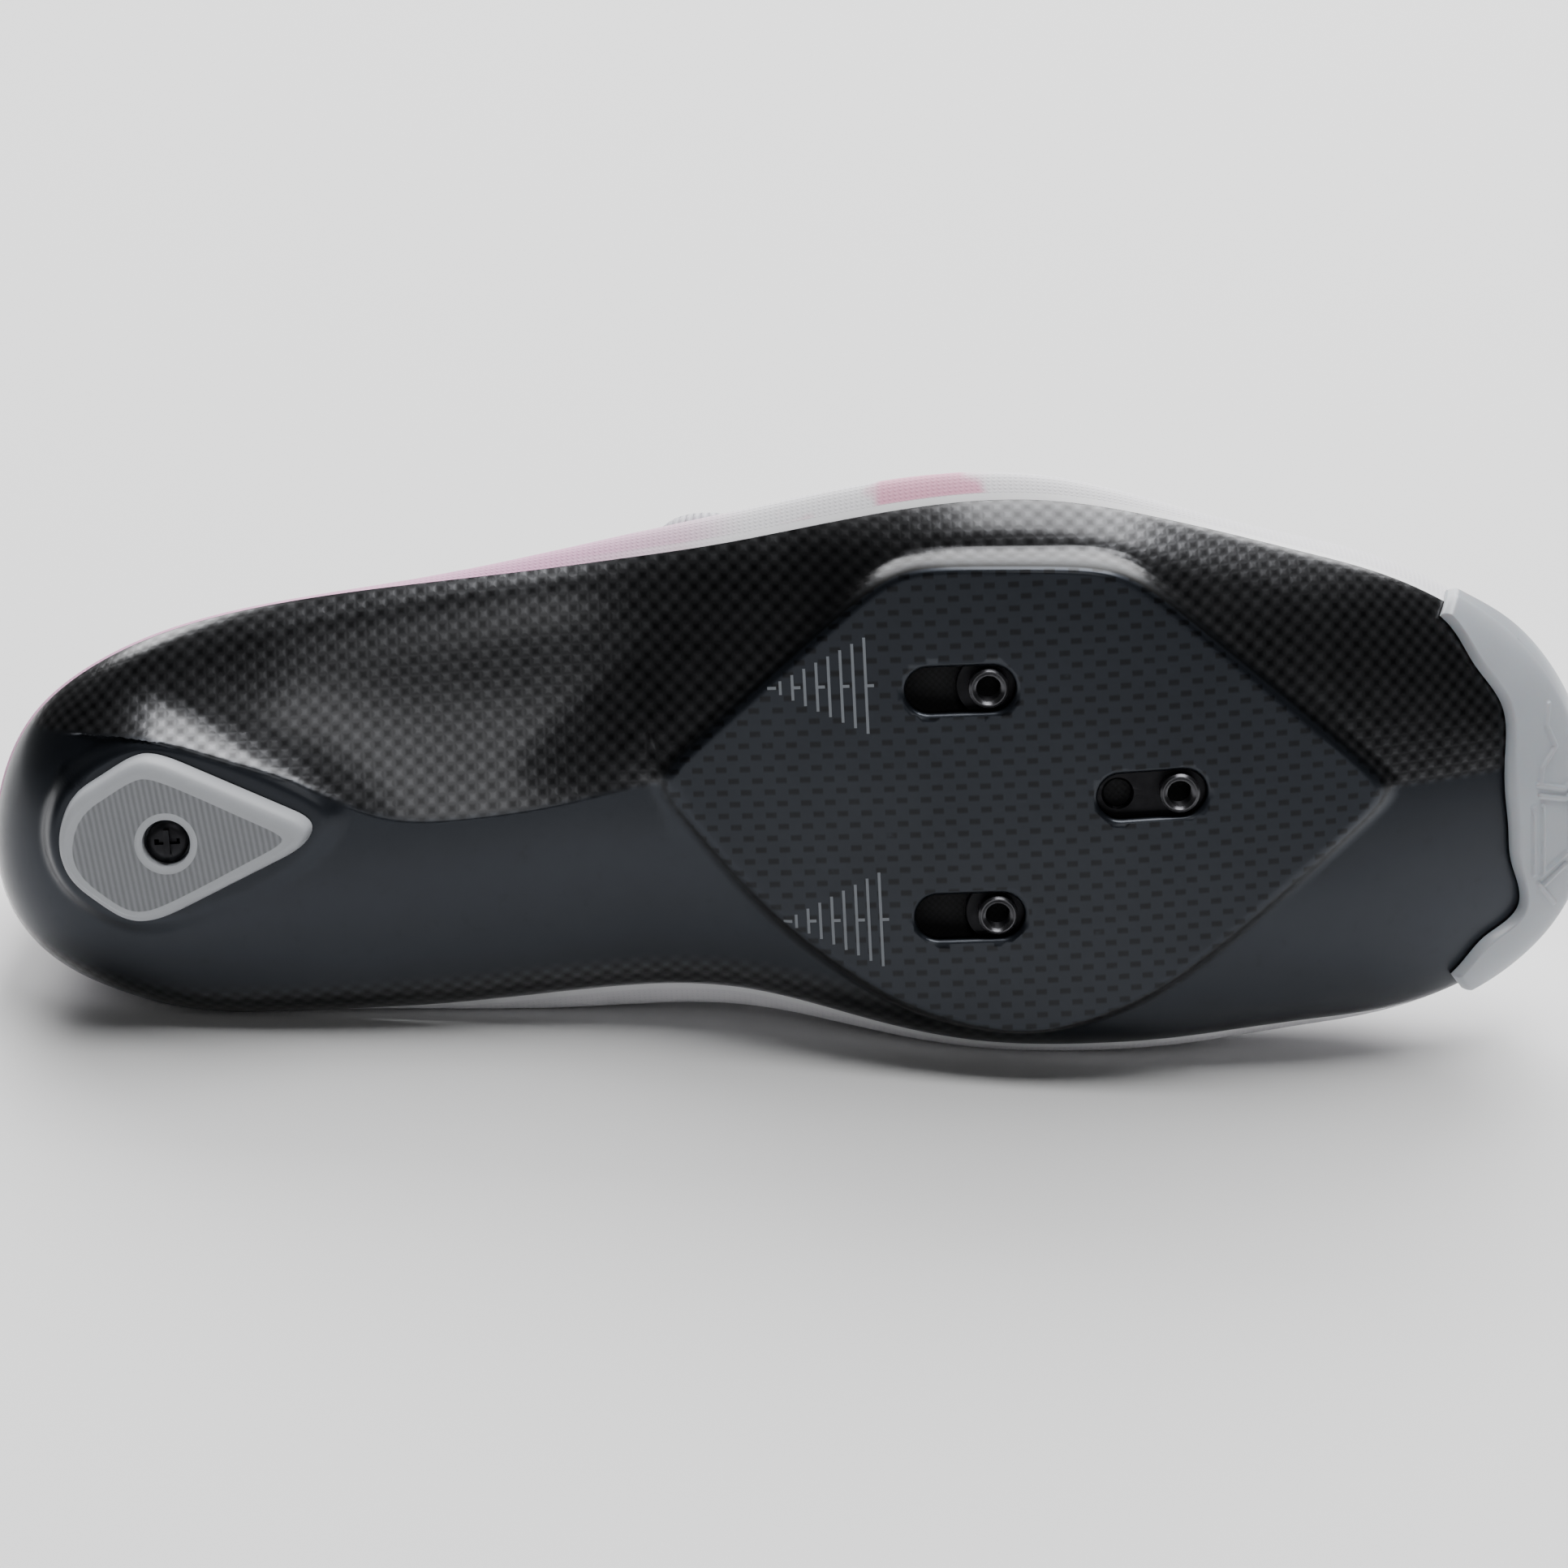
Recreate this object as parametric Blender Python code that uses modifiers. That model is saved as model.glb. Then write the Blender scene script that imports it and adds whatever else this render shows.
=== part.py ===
"""Right road cycling shoe, lying on its medial side.

Every piece is worked out in the shoe's own frame: X from heel to toe, Y towards the big toe (medial), Z from
the tread up to the foot. At the end one rotation, found from the three places the shoe rests on, lays it down.
"""
import math

import bmesh
import bpy
import numpy as np
from mathutils import Matrix, Vector
from mathutils.bvhtree import BVHTree

# Driving sizes of the sole, in metres
SHOE_LENGTH = 0.2790
BALL_WIDTH = 0.0990
WAIST_WIDTH = 0.0780
HEEL_WIDTH = 0.0730
TOE_WIDTH = 0.0790
ARCH_RISE = 0.0086
TOE_SPRING = 0.0200
HEEL_SEAT = 0.0036
RIM_HEIGHT = 0.0200
SHELL_WALL = 0.0031
RIM_WALL = 0.0022
PLATEAU_STEP = 0.0018

# Driving sizes of the upper
UPPER_WALL = 0.0018
UPPER_BULGE = 0.0050
INSTEP_HEIGHT = 0.1000
COLLAR_HEIGHT = 0.0800
THROAT_WIDTH = 0.0300
TONGUE_THICKNESS = 0.0030
TONGUE_OVERLAP = 0.0080
TONGUE_TOP = 0.345
TONGUE_ROUND = 0.0160
INSOLE_THICKNESS = 0.0030

# Cleat fixing: three bolts, the rear pair across the shoe and one in front
BOLT_SPREAD = 0.0400
BOLT_REACH = 0.0320
BOLT_REAR_X = 0.6254 * SHOE_LENGTH
SLOT_WIDTH = 0.0080
SLOT_LENGTH = 0.0188
SLOT_FRONT_ROOM = 0.0046
NUT_RADIUS = 0.0034
NUT_BORE = 0.0024
NUT_RECESS = 0.0004
FLANGE_RADIUS = 0.0056
FLANGE_THICKNESS = 0.0012
FRONT_PLATE_TAIL = 0.0105
POCKET_FLOOR = 0.0018
POCKET_SIDE_ROOM = 0.0007
NUT_TRAVEL = 0.0100

# Heel pad and its screw
PAD_THICKNESS = 0.0033
PAD_DRAFT = 0.0012
SCREW_X = 0.1168 * SHOE_LENGTH
SCREW_Y = -0.0006
SCREW_HOLE_RADIUS = 0.0041
SCREW_HEAD_RADIUS = 0.0036
SCREW_HEAD_HEIGHT = 0.0015
SCREW_SHANK_RADIUS = 0.0019
SCREW_CROSS_WIDTH = 0.0009
SCREW_CROSS_SPAN = 0.0044
SCREW_CROSS_DEPTH = 0.0008

# Toe bumper
BUMPER_WALL = 0.0020
BUMPER_WRAP = 0.0080
BUMPER_ARM_WRAP = 0.0030

# Lace dial on the lateral side
DIAL_X = 0.4560 * SHOE_LENGTH
DIAL_Z = 0.89 * COLLAR_HEIGHT
DIAL_BASE_RADIUS = 0.0118
DIAL_BASE_HEIGHT = 0.0024
DIAL_RADIUS = 0.0104
DIAL_HEIGHT = 0.0062
DIAL_TEETH = 40
DIAL_TOOTH = 0.0005

# Lace and its guides
LACE_RADIUS = 0.0008
LACE_LIFT = 0.0016
GUIDE_LENGTH = 0.0090
GUIDE_WIDTH = 0.0075
GUIDE_HEIGHT = 0.0030
GUIDE_SET_BACK = 0.0032
LACE_TURN = 0.0016

# Clearance between pieces that meet, and how far cutting tools reach past the sole
GAP = 0.0003
CUT_BELOW = 0.5 * RIM_HEIGHT
CUT_ABOVE = 1.5 * RIM_HEIGHT

# Places where the sections change from fans round the ends to slices across the shoe
HEEL_CENTRE = 0.122 * SHOE_LENGTH
TOE_CENTRE = 0.832 * SHOE_LENGTH

# Outline of the sole's rim. Columns: place along the shoe as a share of its length, the width that the row
# follows, and the shares of that width on the lateral and on the medial side
OUTLINE = (
    (0.0095, HEEL_WIDTH, 0.134, 0.230),
    (0.0290, HEEL_WIDTH, 0.264, 0.323),
    (0.0645, HEEL_WIDTH, 0.375, 0.405),
    (0.1220, HEEL_WIDTH, 0.468, 0.472),
    (0.1860, HEEL_WIDTH, 0.518, 0.487),
    (0.2690, WAIST_WIDTH, 0.513, 0.463),
    (0.3690, WAIST_WIDTH, 0.535, 0.450),
    (0.4660, WAIST_WIDTH, 0.572, 0.459),
    (0.5630, BALL_WIDTH, 0.494, 0.435),
    (0.6240, BALL_WIDTH, 0.509, 0.467),
    (0.6740, BALL_WIDTH, 0.501, 0.477),
    (0.7460, BALL_WIDTH, 0.454, 0.477),
    (0.8240, TOE_WIDTH, 0.481, 0.586),
    (0.8750, TOE_WIDTH, 0.416, 0.579),
    (0.9180, TOE_WIDTH, 0.335, 0.547),
    (0.9570, TOE_WIDTH, 0.222, 0.475),
    (0.9860, TOE_WIDTH, 0.076, 0.367),
)
HEEL_BACK_Y = 0.035 * HEEL_WIDTH
TOE_TIP_Y = 0.140 * TOE_WIDTH

# Line from which every section is drawn. Columns: place along the shoe, offset as a share of the ball width
FOOT_LINE = ((0.12, 0.005), (0.37, -0.010), (0.60, 0.000), (0.73, 0.035), (0.84, 0.072))

# Sole sections. Columns: place along the shoe, shares of arch rise, toe spring and heel seat in the bottom's
# height, rim height on the lateral and medial side as shares of the rim height, and fullness of the section
SOLE = (
    (0.000, 0.00, 0.00, 1.50, 1.05, 1.05, 3.2),
    (0.055, 0.00, 0.00, 1.15, 1.00, 1.00, 3.2),
    (0.122, 0.00, 0.00, 1.00, 0.95, 0.96, 3.2),
    (0.200, 0.10, 0.00, 0.90, 0.92, 0.98, 3.0),
    (0.278, 0.48, 0.00, 0.55, 0.92, 1.06, 2.6),
    (0.350, 0.86, 0.00, 0.20, 0.95, 1.11, 2.4),
    (0.405, 1.00, 0.00, 0.00, 0.96, 1.10, 2.4),
    (0.460, 0.86, 0.00, 0.00, 0.86, 1.00, 2.7),
    (0.510, 0.66, 0.00, 0.00, 0.78, 0.87, 3.2),
    (0.565, 0.45, 0.00, 0.00, 0.70, 0.74, 3.8),
    (0.617, 0.29, 0.00, 0.00, 0.65, 0.65, 4.0),
    (0.672, 0.21, 0.00, 0.00, 0.65, 0.64, 4.0),
    (0.725, 0.20, 0.02, 0.00, 0.68, 0.67, 3.8),
    (0.780, 0.20, 0.10, 0.00, 0.78, 0.78, 3.4),
    (0.835, 0.15, 0.24, 0.00, 0.90, 0.90, 3.0),
    (0.887, 0.10, 0.44, 0.00, 1.05, 1.06, 2.8),
    (0.940, 0.05, 0.68, 0.00, 1.22, 1.22, 2.8),
    (1.000, 0.00, 1.00, 0.00, 1.38, 1.38, 2.8),
)
RIM_LIP = 0.985

# Lateral edge of the keel, where the scoop begins. Columns: place along the shoe, offset as a share of the
# waist width
KEEL_EDGE = (
    (0.060, -0.240), (0.110, -0.228), (0.150, -0.178), (0.193, -0.122), (0.225, -0.062),
    (0.258, -0.018), (0.295, -0.008), (0.363, -0.027), (0.420, -0.060), (0.500, -0.080),
)
SCOOP_START = 0.050
SCOOP_FULL = 0.125
SCOOP_RISE = 0.62
CLIFF_LENGTH = 0.0200

# Corners of the raised cleat plateau, in order. Columns: place along the shoe, offset as a share of ball width
PLATEAU = (
    (0.4180, -0.056), (0.5720, -0.425), (0.7110, -0.408), (0.8760, 0.030),
    (0.7220, 0.372), (0.6450, 0.436), (0.5700, 0.385), (0.4900, 0.220),
)
PLATEAU_ROUND = 0.0022
PLATEAU_FILLET = 0.0022

# Corners of the heel pad's tread, in order. Columns: place along the shoe, offset as a share of heel width
PAD = (
    (0.0480, -0.020), (0.0590, -0.128), (0.1020, -0.222), (0.1180, -0.214),
    (0.2090, -0.037), (0.2010, 0.025), (0.1120, 0.178), (0.0960, 0.186),
    (0.0820, 0.166), (0.0540, 0.075),
)
PAD_SEAT_MARGIN = 0.0022
PAD_SEAT_FILLET = 0.0030

# Upper sections. Columns: place along the shoe, lateral and medial bulge as shares of the upper's bulge,
# height of the bulge above the rim as a share of the rim height, roundness, and inward lean
UPPER = (
    (0.000, 0.10, 0.10, 0.06, 0.70, 0.16),
    (0.070, 0.06, 0.04, 0.05, 0.50, 0.42),
    (0.170, 0.04, 0.02, 0.05, 0.40, 0.52),
    (0.270, 0.10, 0.30, 0.10, 0.50, 0.48),
    (0.370, 0.50, 0.90, 0.20, 0.68, 0.38),
    (0.465, 0.86, 0.90, 0.25, 0.68, 0.28),
    (0.570, 0.96, 0.56, 0.22, 0.68, 0.20),
    (0.680, 0.70, 0.50, 0.22, 0.70, 0.18),
    (0.770, 0.34, 0.56, 0.28, 0.70, 0.08),
    (0.850, 0.30, 0.54, 0.40, 0.68, 0.00),
    (0.930, 0.36, 0.36, 0.40, 0.62, 0.00),
    (1.000, 0.36, 0.36, 0.38, 0.58, 0.00),
)

# Crest of the last. Columns: place along the shoe, height as a share of the instep height. Behind the throat
# it goes up the leg, and the collar cuts it off
CREST = (
    (0.000, 1.42), (0.150, 1.42), (0.260, 1.30), (0.320, 1.13), (0.372, 1.01), (0.420, 0.93), (0.470, 0.85),
    (0.570, 0.715), (0.680, 0.620), (0.770, 0.565), (0.840, 0.535), (0.930, 0.500), (1.000, 0.460),
)

# Collar. Columns: place along the shoe, height as a share of the collar height on the lateral and medial side
COLLAR = (
    (0.000, 1.00, 1.00), (0.045, 0.97, 0.97), (0.105, 0.85, 0.87), (0.175, 0.76, 0.80), (0.245, 0.79, 0.83),
    (0.310, 0.92, 0.95), (0.355, 1.06, 1.08), (0.385, 1.24, 1.24), (0.430, 1.80, 1.80),
)

# Throat. Columns: place along the shoe, width as a share of the throat's width
THROAT = ((0.30, 1.08), (0.39, 1.00), (0.46, 0.92), (0.53, 0.76), (0.58, 0.50), (0.612, 0.16), (0.622, 0.00))
THROAT_END = 0.622

# Inner edge of the toe bumper under the toe. Columns: turn from straight ahead in degrees, lateral side
# negative, and distance as a share of the way from the toe's centre to the rim
BUMPER_EDGE = (
    (-62, 0.95), (-52, 0.93), (-40, 0.86), (-24, 0.82), (-12, 0.745), (0, 0.705),
    (12, 0.715), (22, 0.760), (31, 0.860), (42, 0.845), (52, 0.89), (62, 0.95),
)
BUMPER_ARM_TURN = 55.0

# Places of the lace guides as shares of the shoe's length, from the dial's side across and back
GUIDES = ((0.470, 1), (0.506, -1), (0.530, 1), (0.558, -1), (0.582, 1))

# Number of facets. The loop runs once round the shoe
SLICES = 38
RINGS_OUTSIDE = 14
RINGS_INSIDE = 5
RINGS_UPPER = 10


def column(table, index):
    """One column of a table as an array."""
    return np.array([row[index] for row in table], dtype=float)


def spline(at, knots, values):
    """Natural cubic spline through the table's points, held level outside them."""
    at = np.clip(at, knots[0], knots[-1])
    step = np.diff(knots)
    slope = np.diff(values) / step
    count = len(knots)
    system = np.eye(count)
    right = np.zeros(count)
    for i in range(1, count - 1):
        system[i, i - 1 : i + 2] = (step[i - 1], 2 * (step[i - 1] + step[i]), step[i])
        right[i] = 6 * (slope[i] - slope[i - 1])
    bend = np.linalg.solve(system, right)
    i = np.clip(np.searchsorted(knots, at, side="right") - 1, 0, count - 2)
    near = at - knots[i]
    far = knots[i + 1] - at
    return (
        (bend[i] * far**3 + bend[i + 1] * near**3) / (6 * step[i])
        + (values[i] / step[i] - bend[i] * step[i] / 6) * far
        + (values[i + 1] / step[i] - bend[i + 1] * step[i] / 6) * near
    )


def along(table, index, x):
    """A column of a table at the place x along the shoe."""
    return spline(np.asarray(x) / SHOE_LENGTH, column(table, 0), column(table, index))


def smooth(edge_low, edge_high, value):
    """0 below the low edge, 1 above the high one, with soft ends."""
    share = np.clip((value - edge_low) / (edge_high - edge_low), 0.0, 1.0)
    return share * share * (3 - 2 * share)


def foot_y(x):
    return along(FOOT_LINE, 1, x) * BALL_WIDTH


def rim_loop():
    """Dense closed loop through the outline's rows: heel, lateral side, toe, medial side."""
    lateral = [(row[0] * SHOE_LENGTH, -row[2] * row[1]) for row in OUTLINE]
    medial = [(row[0] * SHOE_LENGTH, row[3] * row[1]) for row in OUTLINE]
    loop = [(0.0, HEEL_BACK_Y), *lateral, (SHOE_LENGTH, TOE_TIP_Y), *reversed(medial)]
    points = np.array(loop * 3 + [loop[0]])
    reach = np.concatenate([[0.0], np.cumsum(np.hypot(*np.diff(points, axis=0).T))])
    one = reach[len(loop)]
    fine = np.linspace(one, 2 * one, 6001)
    return spline(fine, reach, points[:, 0]), spline(fine, reach, points[:, 1])


def station_of(x, y):
    """Place of a rim point on the scale of slices: its x in the middle, an arc round each end's centre."""
    heel_turn = np.arctan2(HEEL_CENTRE - x, np.abs(y - foot_y(HEEL_CENTRE)))
    toe_turn = np.arctan2(x - TOE_CENTRE, np.abs(y - foot_y(TOE_CENTRE)))
    heel_arc = HEEL_CENTRE - heel_turn * HEEL_WIDTH / 2
    toe_arc = TOE_CENTRE + toe_turn * TOE_WIDTH / 2
    return np.where(x < HEEL_CENTRE, heel_arc, np.where(x > TOE_CENTRE, toe_arc, x))


RIM_X, RIM_Y = rim_loop()
RIM_STATION = station_of(RIM_X, RIM_Y)
FIRST_STATION = HEEL_CENTRE - math.pi / 4 * HEEL_WIDTH
LAST_STATION = TOE_CENTRE + math.pi / 4 * TOE_WIDTH


def rim_point(station, side):
    """Rim point (x, y) at a station. side is -1 for lateral and 1 for medial."""
    centre = foot_y(np.clip(RIM_X, HEEL_CENTRE, TOE_CENTRE))
    here = np.sign(RIM_Y - centre) == side
    order = np.argsort(RIM_STATION[here])
    scale = RIM_STATION[here][order]
    return np.interp(station, scale, RIM_X[here][order]), np.interp(station, scale, RIM_Y[here][order])


def loop_stations(slices):
    """Stations and sides once round the shoe, from the heel along the lateral side to the toe and back."""
    one_way = np.linspace(FIRST_STATION, LAST_STATION, slices + 1)
    stations = np.concatenate([one_way, one_way[-2:0:-1]])
    sides = np.concatenate([-np.ones(slices + 1), np.ones(slices - 1)])
    return stations, sides


class Slices:
    """The rim and the foot line at every station of a loop."""

    def __init__(self, stations, sides):
        self.side = sides
        lateral = rim_point(stations, -1)
        medial = rim_point(stations, 1)
        self.rim_x = np.where(sides < 0, lateral[0], medial[0])
        self.rim_y = np.where(sides < 0, lateral[1], medial[1])
        self.foot_x = np.clip(stations, HEEL_CENTRE, TOE_CENTRE)
        self.foot_y = foot_y(self.foot_x)
        self.reach = np.hypot(self.rim_x - self.foot_x, self.rim_y - self.foot_y)
        self.out_x = (self.rim_x - self.foot_x) / self.reach
        self.out_y = (self.rim_y - self.foot_y) / self.reach
        rim = np.where(sides < 0, along(SOLE, 4, self.rim_x), along(SOLE, 5, self.rim_x))
        self.rim_z = rim * RIM_HEIGHT

    def place(self, distance):
        """Points at the given distances from the foot line, one row a ring."""
        return self.foot_x + distance * self.out_x, self.foot_y + distance * self.out_y


def polygon(table, width):
    """Corners of a table's polygon in metres."""
    return np.stack([column(table, 0) * SHOE_LENGTH, column(table, 1) * width], axis=1)


def outside(corners, x, y, rounding):
    """Distance outside a convex polygon, negative inside, with its corners rounded."""
    total = np.zeros(np.shape(x))
    turn = np.roll(corners, -1, axis=0) - corners
    swing = turn[0, 0] * turn[1, 1] - turn[0, 1] * turn[1, 0]
    for (cx, cy), (tx, ty) in zip(corners, turn):
        size = math.copysign(math.hypot(tx, ty), swing)
        away = ((x - cx) * ty - (y - cy) * tx) / size
        total = total + np.exp(np.clip(away / rounding, -60, 60))
    return np.log(total) * rounding


def bottom_line(x):
    """Height of the sole's bottom along the middle, without the plateau."""
    return (
        along(SOLE, 1, x) * ARCH_RISE + along(SOLE, 2, x) * TOE_SPRING + along(SOLE, 3, x) * HEEL_SEAT
    )


def plateau_z(x):
    return bottom_line(x) - PLATEAU_STEP


def sole_height(x, y, share, rim_z, with_plateau):
    """Height of the sole's outside: rounded section, scoop beside the keel, pad seat, and cleat plateau."""
    bottom = bottom_line(x)
    full = along(SOLE, 6, x)
    top = np.sqrt(1 - RIM_LIP**full)
    turn_up = (1 - np.sqrt(1 - (RIM_LIP * share) ** full)) / (1 - top)
    plain = bottom + (rim_z - bottom) * turn_up
    to_plateau = outside(polygon(PLATEAU, BALL_WIDTH), x, y, PLATEAU_ROUND)
    edge = along(KEEL_EDGE, 1, x) * WAIST_WIDTH
    lateral_rim = np.interp(x, *rim_side(-1))
    past = np.clip((edge - y) / (edge - lateral_rim), 0.0, 1.0)
    hollow = SCOOP_RISE * (1 - (1 - past) ** 2.2) + (1 - SCOOP_RISE) * past**9
    scoop = bottom + (rim_z - bottom) * hollow
    weight = smooth(SCOOP_START, SCOOP_FULL, x / SHOE_LENGTH) * smooth(0.0, CLIFF_LENGTH, to_plateau)
    weight = weight * (x < 0.6 * SHOE_LENGTH) * (y < edge)
    height = plain + (scoop - plain) * weight
    to_pad = outside(polygon(PAD, HEEL_WIDTH), x, y, PLATEAU_ROUND)
    seat = 1 - smooth(PAD_SEAT_MARGIN, PAD_SEAT_MARGIN + PAD_SEAT_FILLET, to_pad)
    height = height + (HEEL_SEAT - height) * seat
    if with_plateau:
        inside = 1 - smooth(-PLATEAU_FILLET / 2, PLATEAU_FILLET, to_plateau)
        height = height + (plateau_z(x) - height) * inside
    return height


def rim_side(side):
    """x and y of the rim on one side, sorted along the shoe."""
    stations = np.linspace(FIRST_STATION, LAST_STATION, 400)
    return rim_point(stations, side)


def feature_share(cut):
    """Where the plateau's or the keel's edge crosses each section, as a share of the way to the rim."""
    share = np.linspace(0.0, 1.0, 201)[:, None]
    x, y = cut.place(share * cut.reach)
    plateau = outside(polygon(PLATEAU, BALL_WIDTH), x, y, PLATEAU_ROUND) < 0
    by_plateau = plateau.sum(axis=0) / len(share)
    keel = along(KEEL_EDGE, 1, cut.foot_x) * WAIST_WIDTH
    by_keel = np.clip((cut.foot_y - keel) / cut.reach, 0.12, 0.62)
    behind = cut.foot_x < PLATEAU[0][0] * SHOE_LENGTH
    plain = np.interp(cut.foot_x, (0.5 * HEEL_CENTRE, PLATEAU[0][0] * SHOE_LENGTH), (0.62, 0.16))
    found = np.where(cut.side < 0, by_keel, plain)
    return np.clip(np.where(behind, found, by_plateau), 0.12, 0.88)


def sole_rings(cut):
    """Shares of the rings on the sole's outside: close beside the feature's edge and near the rim."""
    edge = feature_share(cut)
    half = PLATEAU_FILLET / cut.reach
    inner = np.linspace(0.0, 1.0, RINGS_OUTSIDE // 2 - 1)[:, None] * (edge - half / 2)
    turn = np.linspace(0.0, 1.0, RINGS_OUTSIDE - RINGS_OUTSIDE // 2)[:, None]
    outer = edge + half + (1 - edge - half) * (1 - (1 - turn) ** 1.5)
    return np.concatenate([inner, outer])


def sole_points(cut, share):
    """Outside of the sole at shares of the way from the foot line to the rim."""
    x, y = cut.place(share * cut.reach)
    return np.stack([x, y, sole_height(x, y, share, cut.rim_z, True)], axis=-1)


def bed_points(cut, share):
    """Inside of the sole's shell, up to the inner edge of its rim."""
    x, y = cut.place(share * (cut.reach - RIM_WALL))
    floor = sole_height(x, y, share * 0.0, cut.rim_z, False) + SHELL_WALL
    full = along(SOLE, 6, x)
    turn_up = 1 - np.sqrt(1 - np.minimum(share, 1.0) ** full)
    return np.stack([x, y, floor + (cut.rim_z - floor) * turn_up], axis=-1)


def upper_sections(cut, count=241):
    """Dense sections of the last's side, from the rim to the crest: distance and height for every station."""
    bulge = np.where(cut.side < 0, along(UPPER, 1, cut.rim_x), along(UPPER, 2, cut.rim_x)) * UPPER_BULGE
    rise = along(UPPER, 3, cut.rim_x) * RIM_HEIGHT
    round_off = along(UPPER, 4, cut.rim_x)
    lean = along(UPPER, 5, cut.rim_x)
    low = np.linspace(0.0, 1.0, 30)[:-1, None]
    low_distance = cut.reach + bulge * np.sin(low * math.pi / 2)
    low_height = cut.rim_z + rise * low
    turn = np.linspace(0.0, math.pi / 2, count)[:, None]
    distance = (cut.reach + bulge) * np.cos(turn) ** round_off * (1 - lean * np.sin(turn))
    x = cut.foot_x + distance * cut.out_x
    start = cut.rim_z + rise
    height = start + (along(CREST, 1, x) * INSTEP_HEIGHT - start) * np.sin(turn)
    return np.concatenate([low_distance, distance]), np.concatenate([low_height, height])


def edge_place(cut, distance, height):
    """Length along each section where the collar or the throat cuts it off, and the lengths themselves."""
    steps = np.hypot(np.diff(distance, axis=0), np.diff(height, axis=0))
    length = np.concatenate([np.zeros((1, distance.shape[1])), np.cumsum(steps, axis=0)])
    collar = np.where(cut.side < 0, along(COLLAR, 1, cut.rim_x), along(COLLAR, 2, cut.rim_x)) * COLLAR_HEIGHT
    gap = np.maximum(along(THROAT, 1, cut.rim_x), 0.0) * THROAT_WIDTH / 2
    gap = np.where(cut.foot_x < THROAT_END * SHOE_LENGTH, gap, 0.0)
    ends = np.zeros(distance.shape[1])
    for i in range(distance.shape[1]):
        by_collar = np.interp(collar[i], height[:, i], length[:, i], right=length[-1, i] * 1.5)
        by_throat = np.interp(-gap[i], -distance[:, i], length[:, i])
        ends[i] = min((by_collar**-12 + by_throat**-12) ** (-1 / 12), length[-1, i])
        if gap[i] == 0.0:
            ends[i] = length[-1, i]
    return length, ends


def walk(cut, distance, height, length, at):
    """Points of the sections at the given lengths from the rim, one row a ring."""
    d = np.stack([np.interp(at[:, i], length[:, i], distance[:, i]) for i in range(at.shape[1])], axis=1)
    z = np.stack([np.interp(at[:, i], length[:, i], height[:, i]) for i in range(at.shape[1])], axis=1)
    x, y = cut.place(d)
    return np.stack([x, y, z], axis=-1)


def clear_scene():
    for item in list(bpy.data.objects):
        bpy.data.objects.remove(item, do_unlink=True)


def new_collection(name):
    made = bpy.data.collections.new(name)
    bpy.context.scene.collection.children.link(made)
    return made


clear_scene()
SHOE = new_collection("cycling_shoe")
CUTTERS = new_collection("cutters")


def material(name, colour, roughness, metallic=0.0):
    made = bpy.data.materials.new(name)
    made.use_nodes = True
    shader = made.node_tree.nodes["Principled BSDF"]
    shader.inputs["Base Color"].default_value = (*colour, 1.0)
    shader.inputs["Roughness"].default_value = roughness
    shader.inputs["Metallic"].default_value = metallic
    return made


def piece(name, mesh, finish, collection=SHOE):
    """A named object round a mesh, with its finish."""
    made = bpy.data.objects.new(name, mesh)
    collection.objects.link(made)
    if finish:
        mesh.materials.append(finish)
    return made


def grid_faces(rows, count, closed, start=0):
    """Quads between neighbouring rows of points."""
    last = count if closed else count - 1
    faces = []
    for r in range(rows - 1):
        for i in range(last):
            a = start + r * count + i
            b = start + r * count + (i + 1) % count
            faces.append((a, b, b + count, a + count))
    return faces


def tidy(mesh, merge=1e-6):
    """Merge points that lie together and turn every face outwards."""
    work = bmesh.new()
    work.from_mesh(mesh)
    bmesh.ops.remove_doubles(work, verts=work.verts, dist=merge)
    bmesh.ops.dissolve_degenerate(work, edges=work.edges, dist=merge)
    bmesh.ops.recalc_face_normals(work, faces=work.faces)
    bmesh.ops.triangulate(work, faces=work.faces)
    work.to_mesh(mesh)
    work.free()
    return mesh


def surface(name, points, closed):
    """An open surface through rows of points."""
    rows, count = points.shape[:2]
    mesh = bpy.data.meshes.new(name)
    mesh.from_pydata(points.reshape(-1, 3).tolist(), [], grid_faces(rows, count, closed))
    return tidy(mesh)


def between(name, low, high):
    """A closed solid between two surfaces of closed rings, whose last rings are joined by a wall."""
    rows, count = low.shape[:2]
    start = rows * count
    faces = grid_faces(rows, count, True) + grid_faces(high.shape[0], count, True, start)
    for i in range(count):
        j = (i + 1) % count
        a, b = start - count + i, start - count + j
        c = start + (high.shape[0] - 1) * count
        faces.append((a, b, c + j, c + i))
    points = np.concatenate([low.reshape(-1, 3), high.reshape(-1, 3)])
    mesh = bpy.data.meshes.new(name)
    mesh.from_pydata(points.tolist(), [], faces)
    return tidy(mesh)


def slab(name, low, high):
    """A closed solid between two open grids of the same size."""
    rows, count = low.shape[:2]
    start = rows * count
    faces = grid_faces(rows, count, False) + grid_faces(rows, count, False, start)
    border = list(range(count)) + [r * count + count - 1 for r in range(1, rows)]
    border += [start - 1 - i for i in range(1, count)] + [r * count for r in range(rows - 2, 0, -1)]
    for here, ahead in zip(border, border[1:] + border[:1]):
        faces.append((here, ahead, start + ahead, start + here))
    points = np.concatenate([low.reshape(-1, 3), high.reshape(-1, 3)])
    mesh = bpy.data.meshes.new(name)
    mesh.from_pydata(points.tolist(), [], faces)
    return tidy(mesh)


def shade(made, angle=math.radians(35)):
    made.data.shade_smooth()
    made.data.set_sharp_from_angle(angle=angle)


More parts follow.
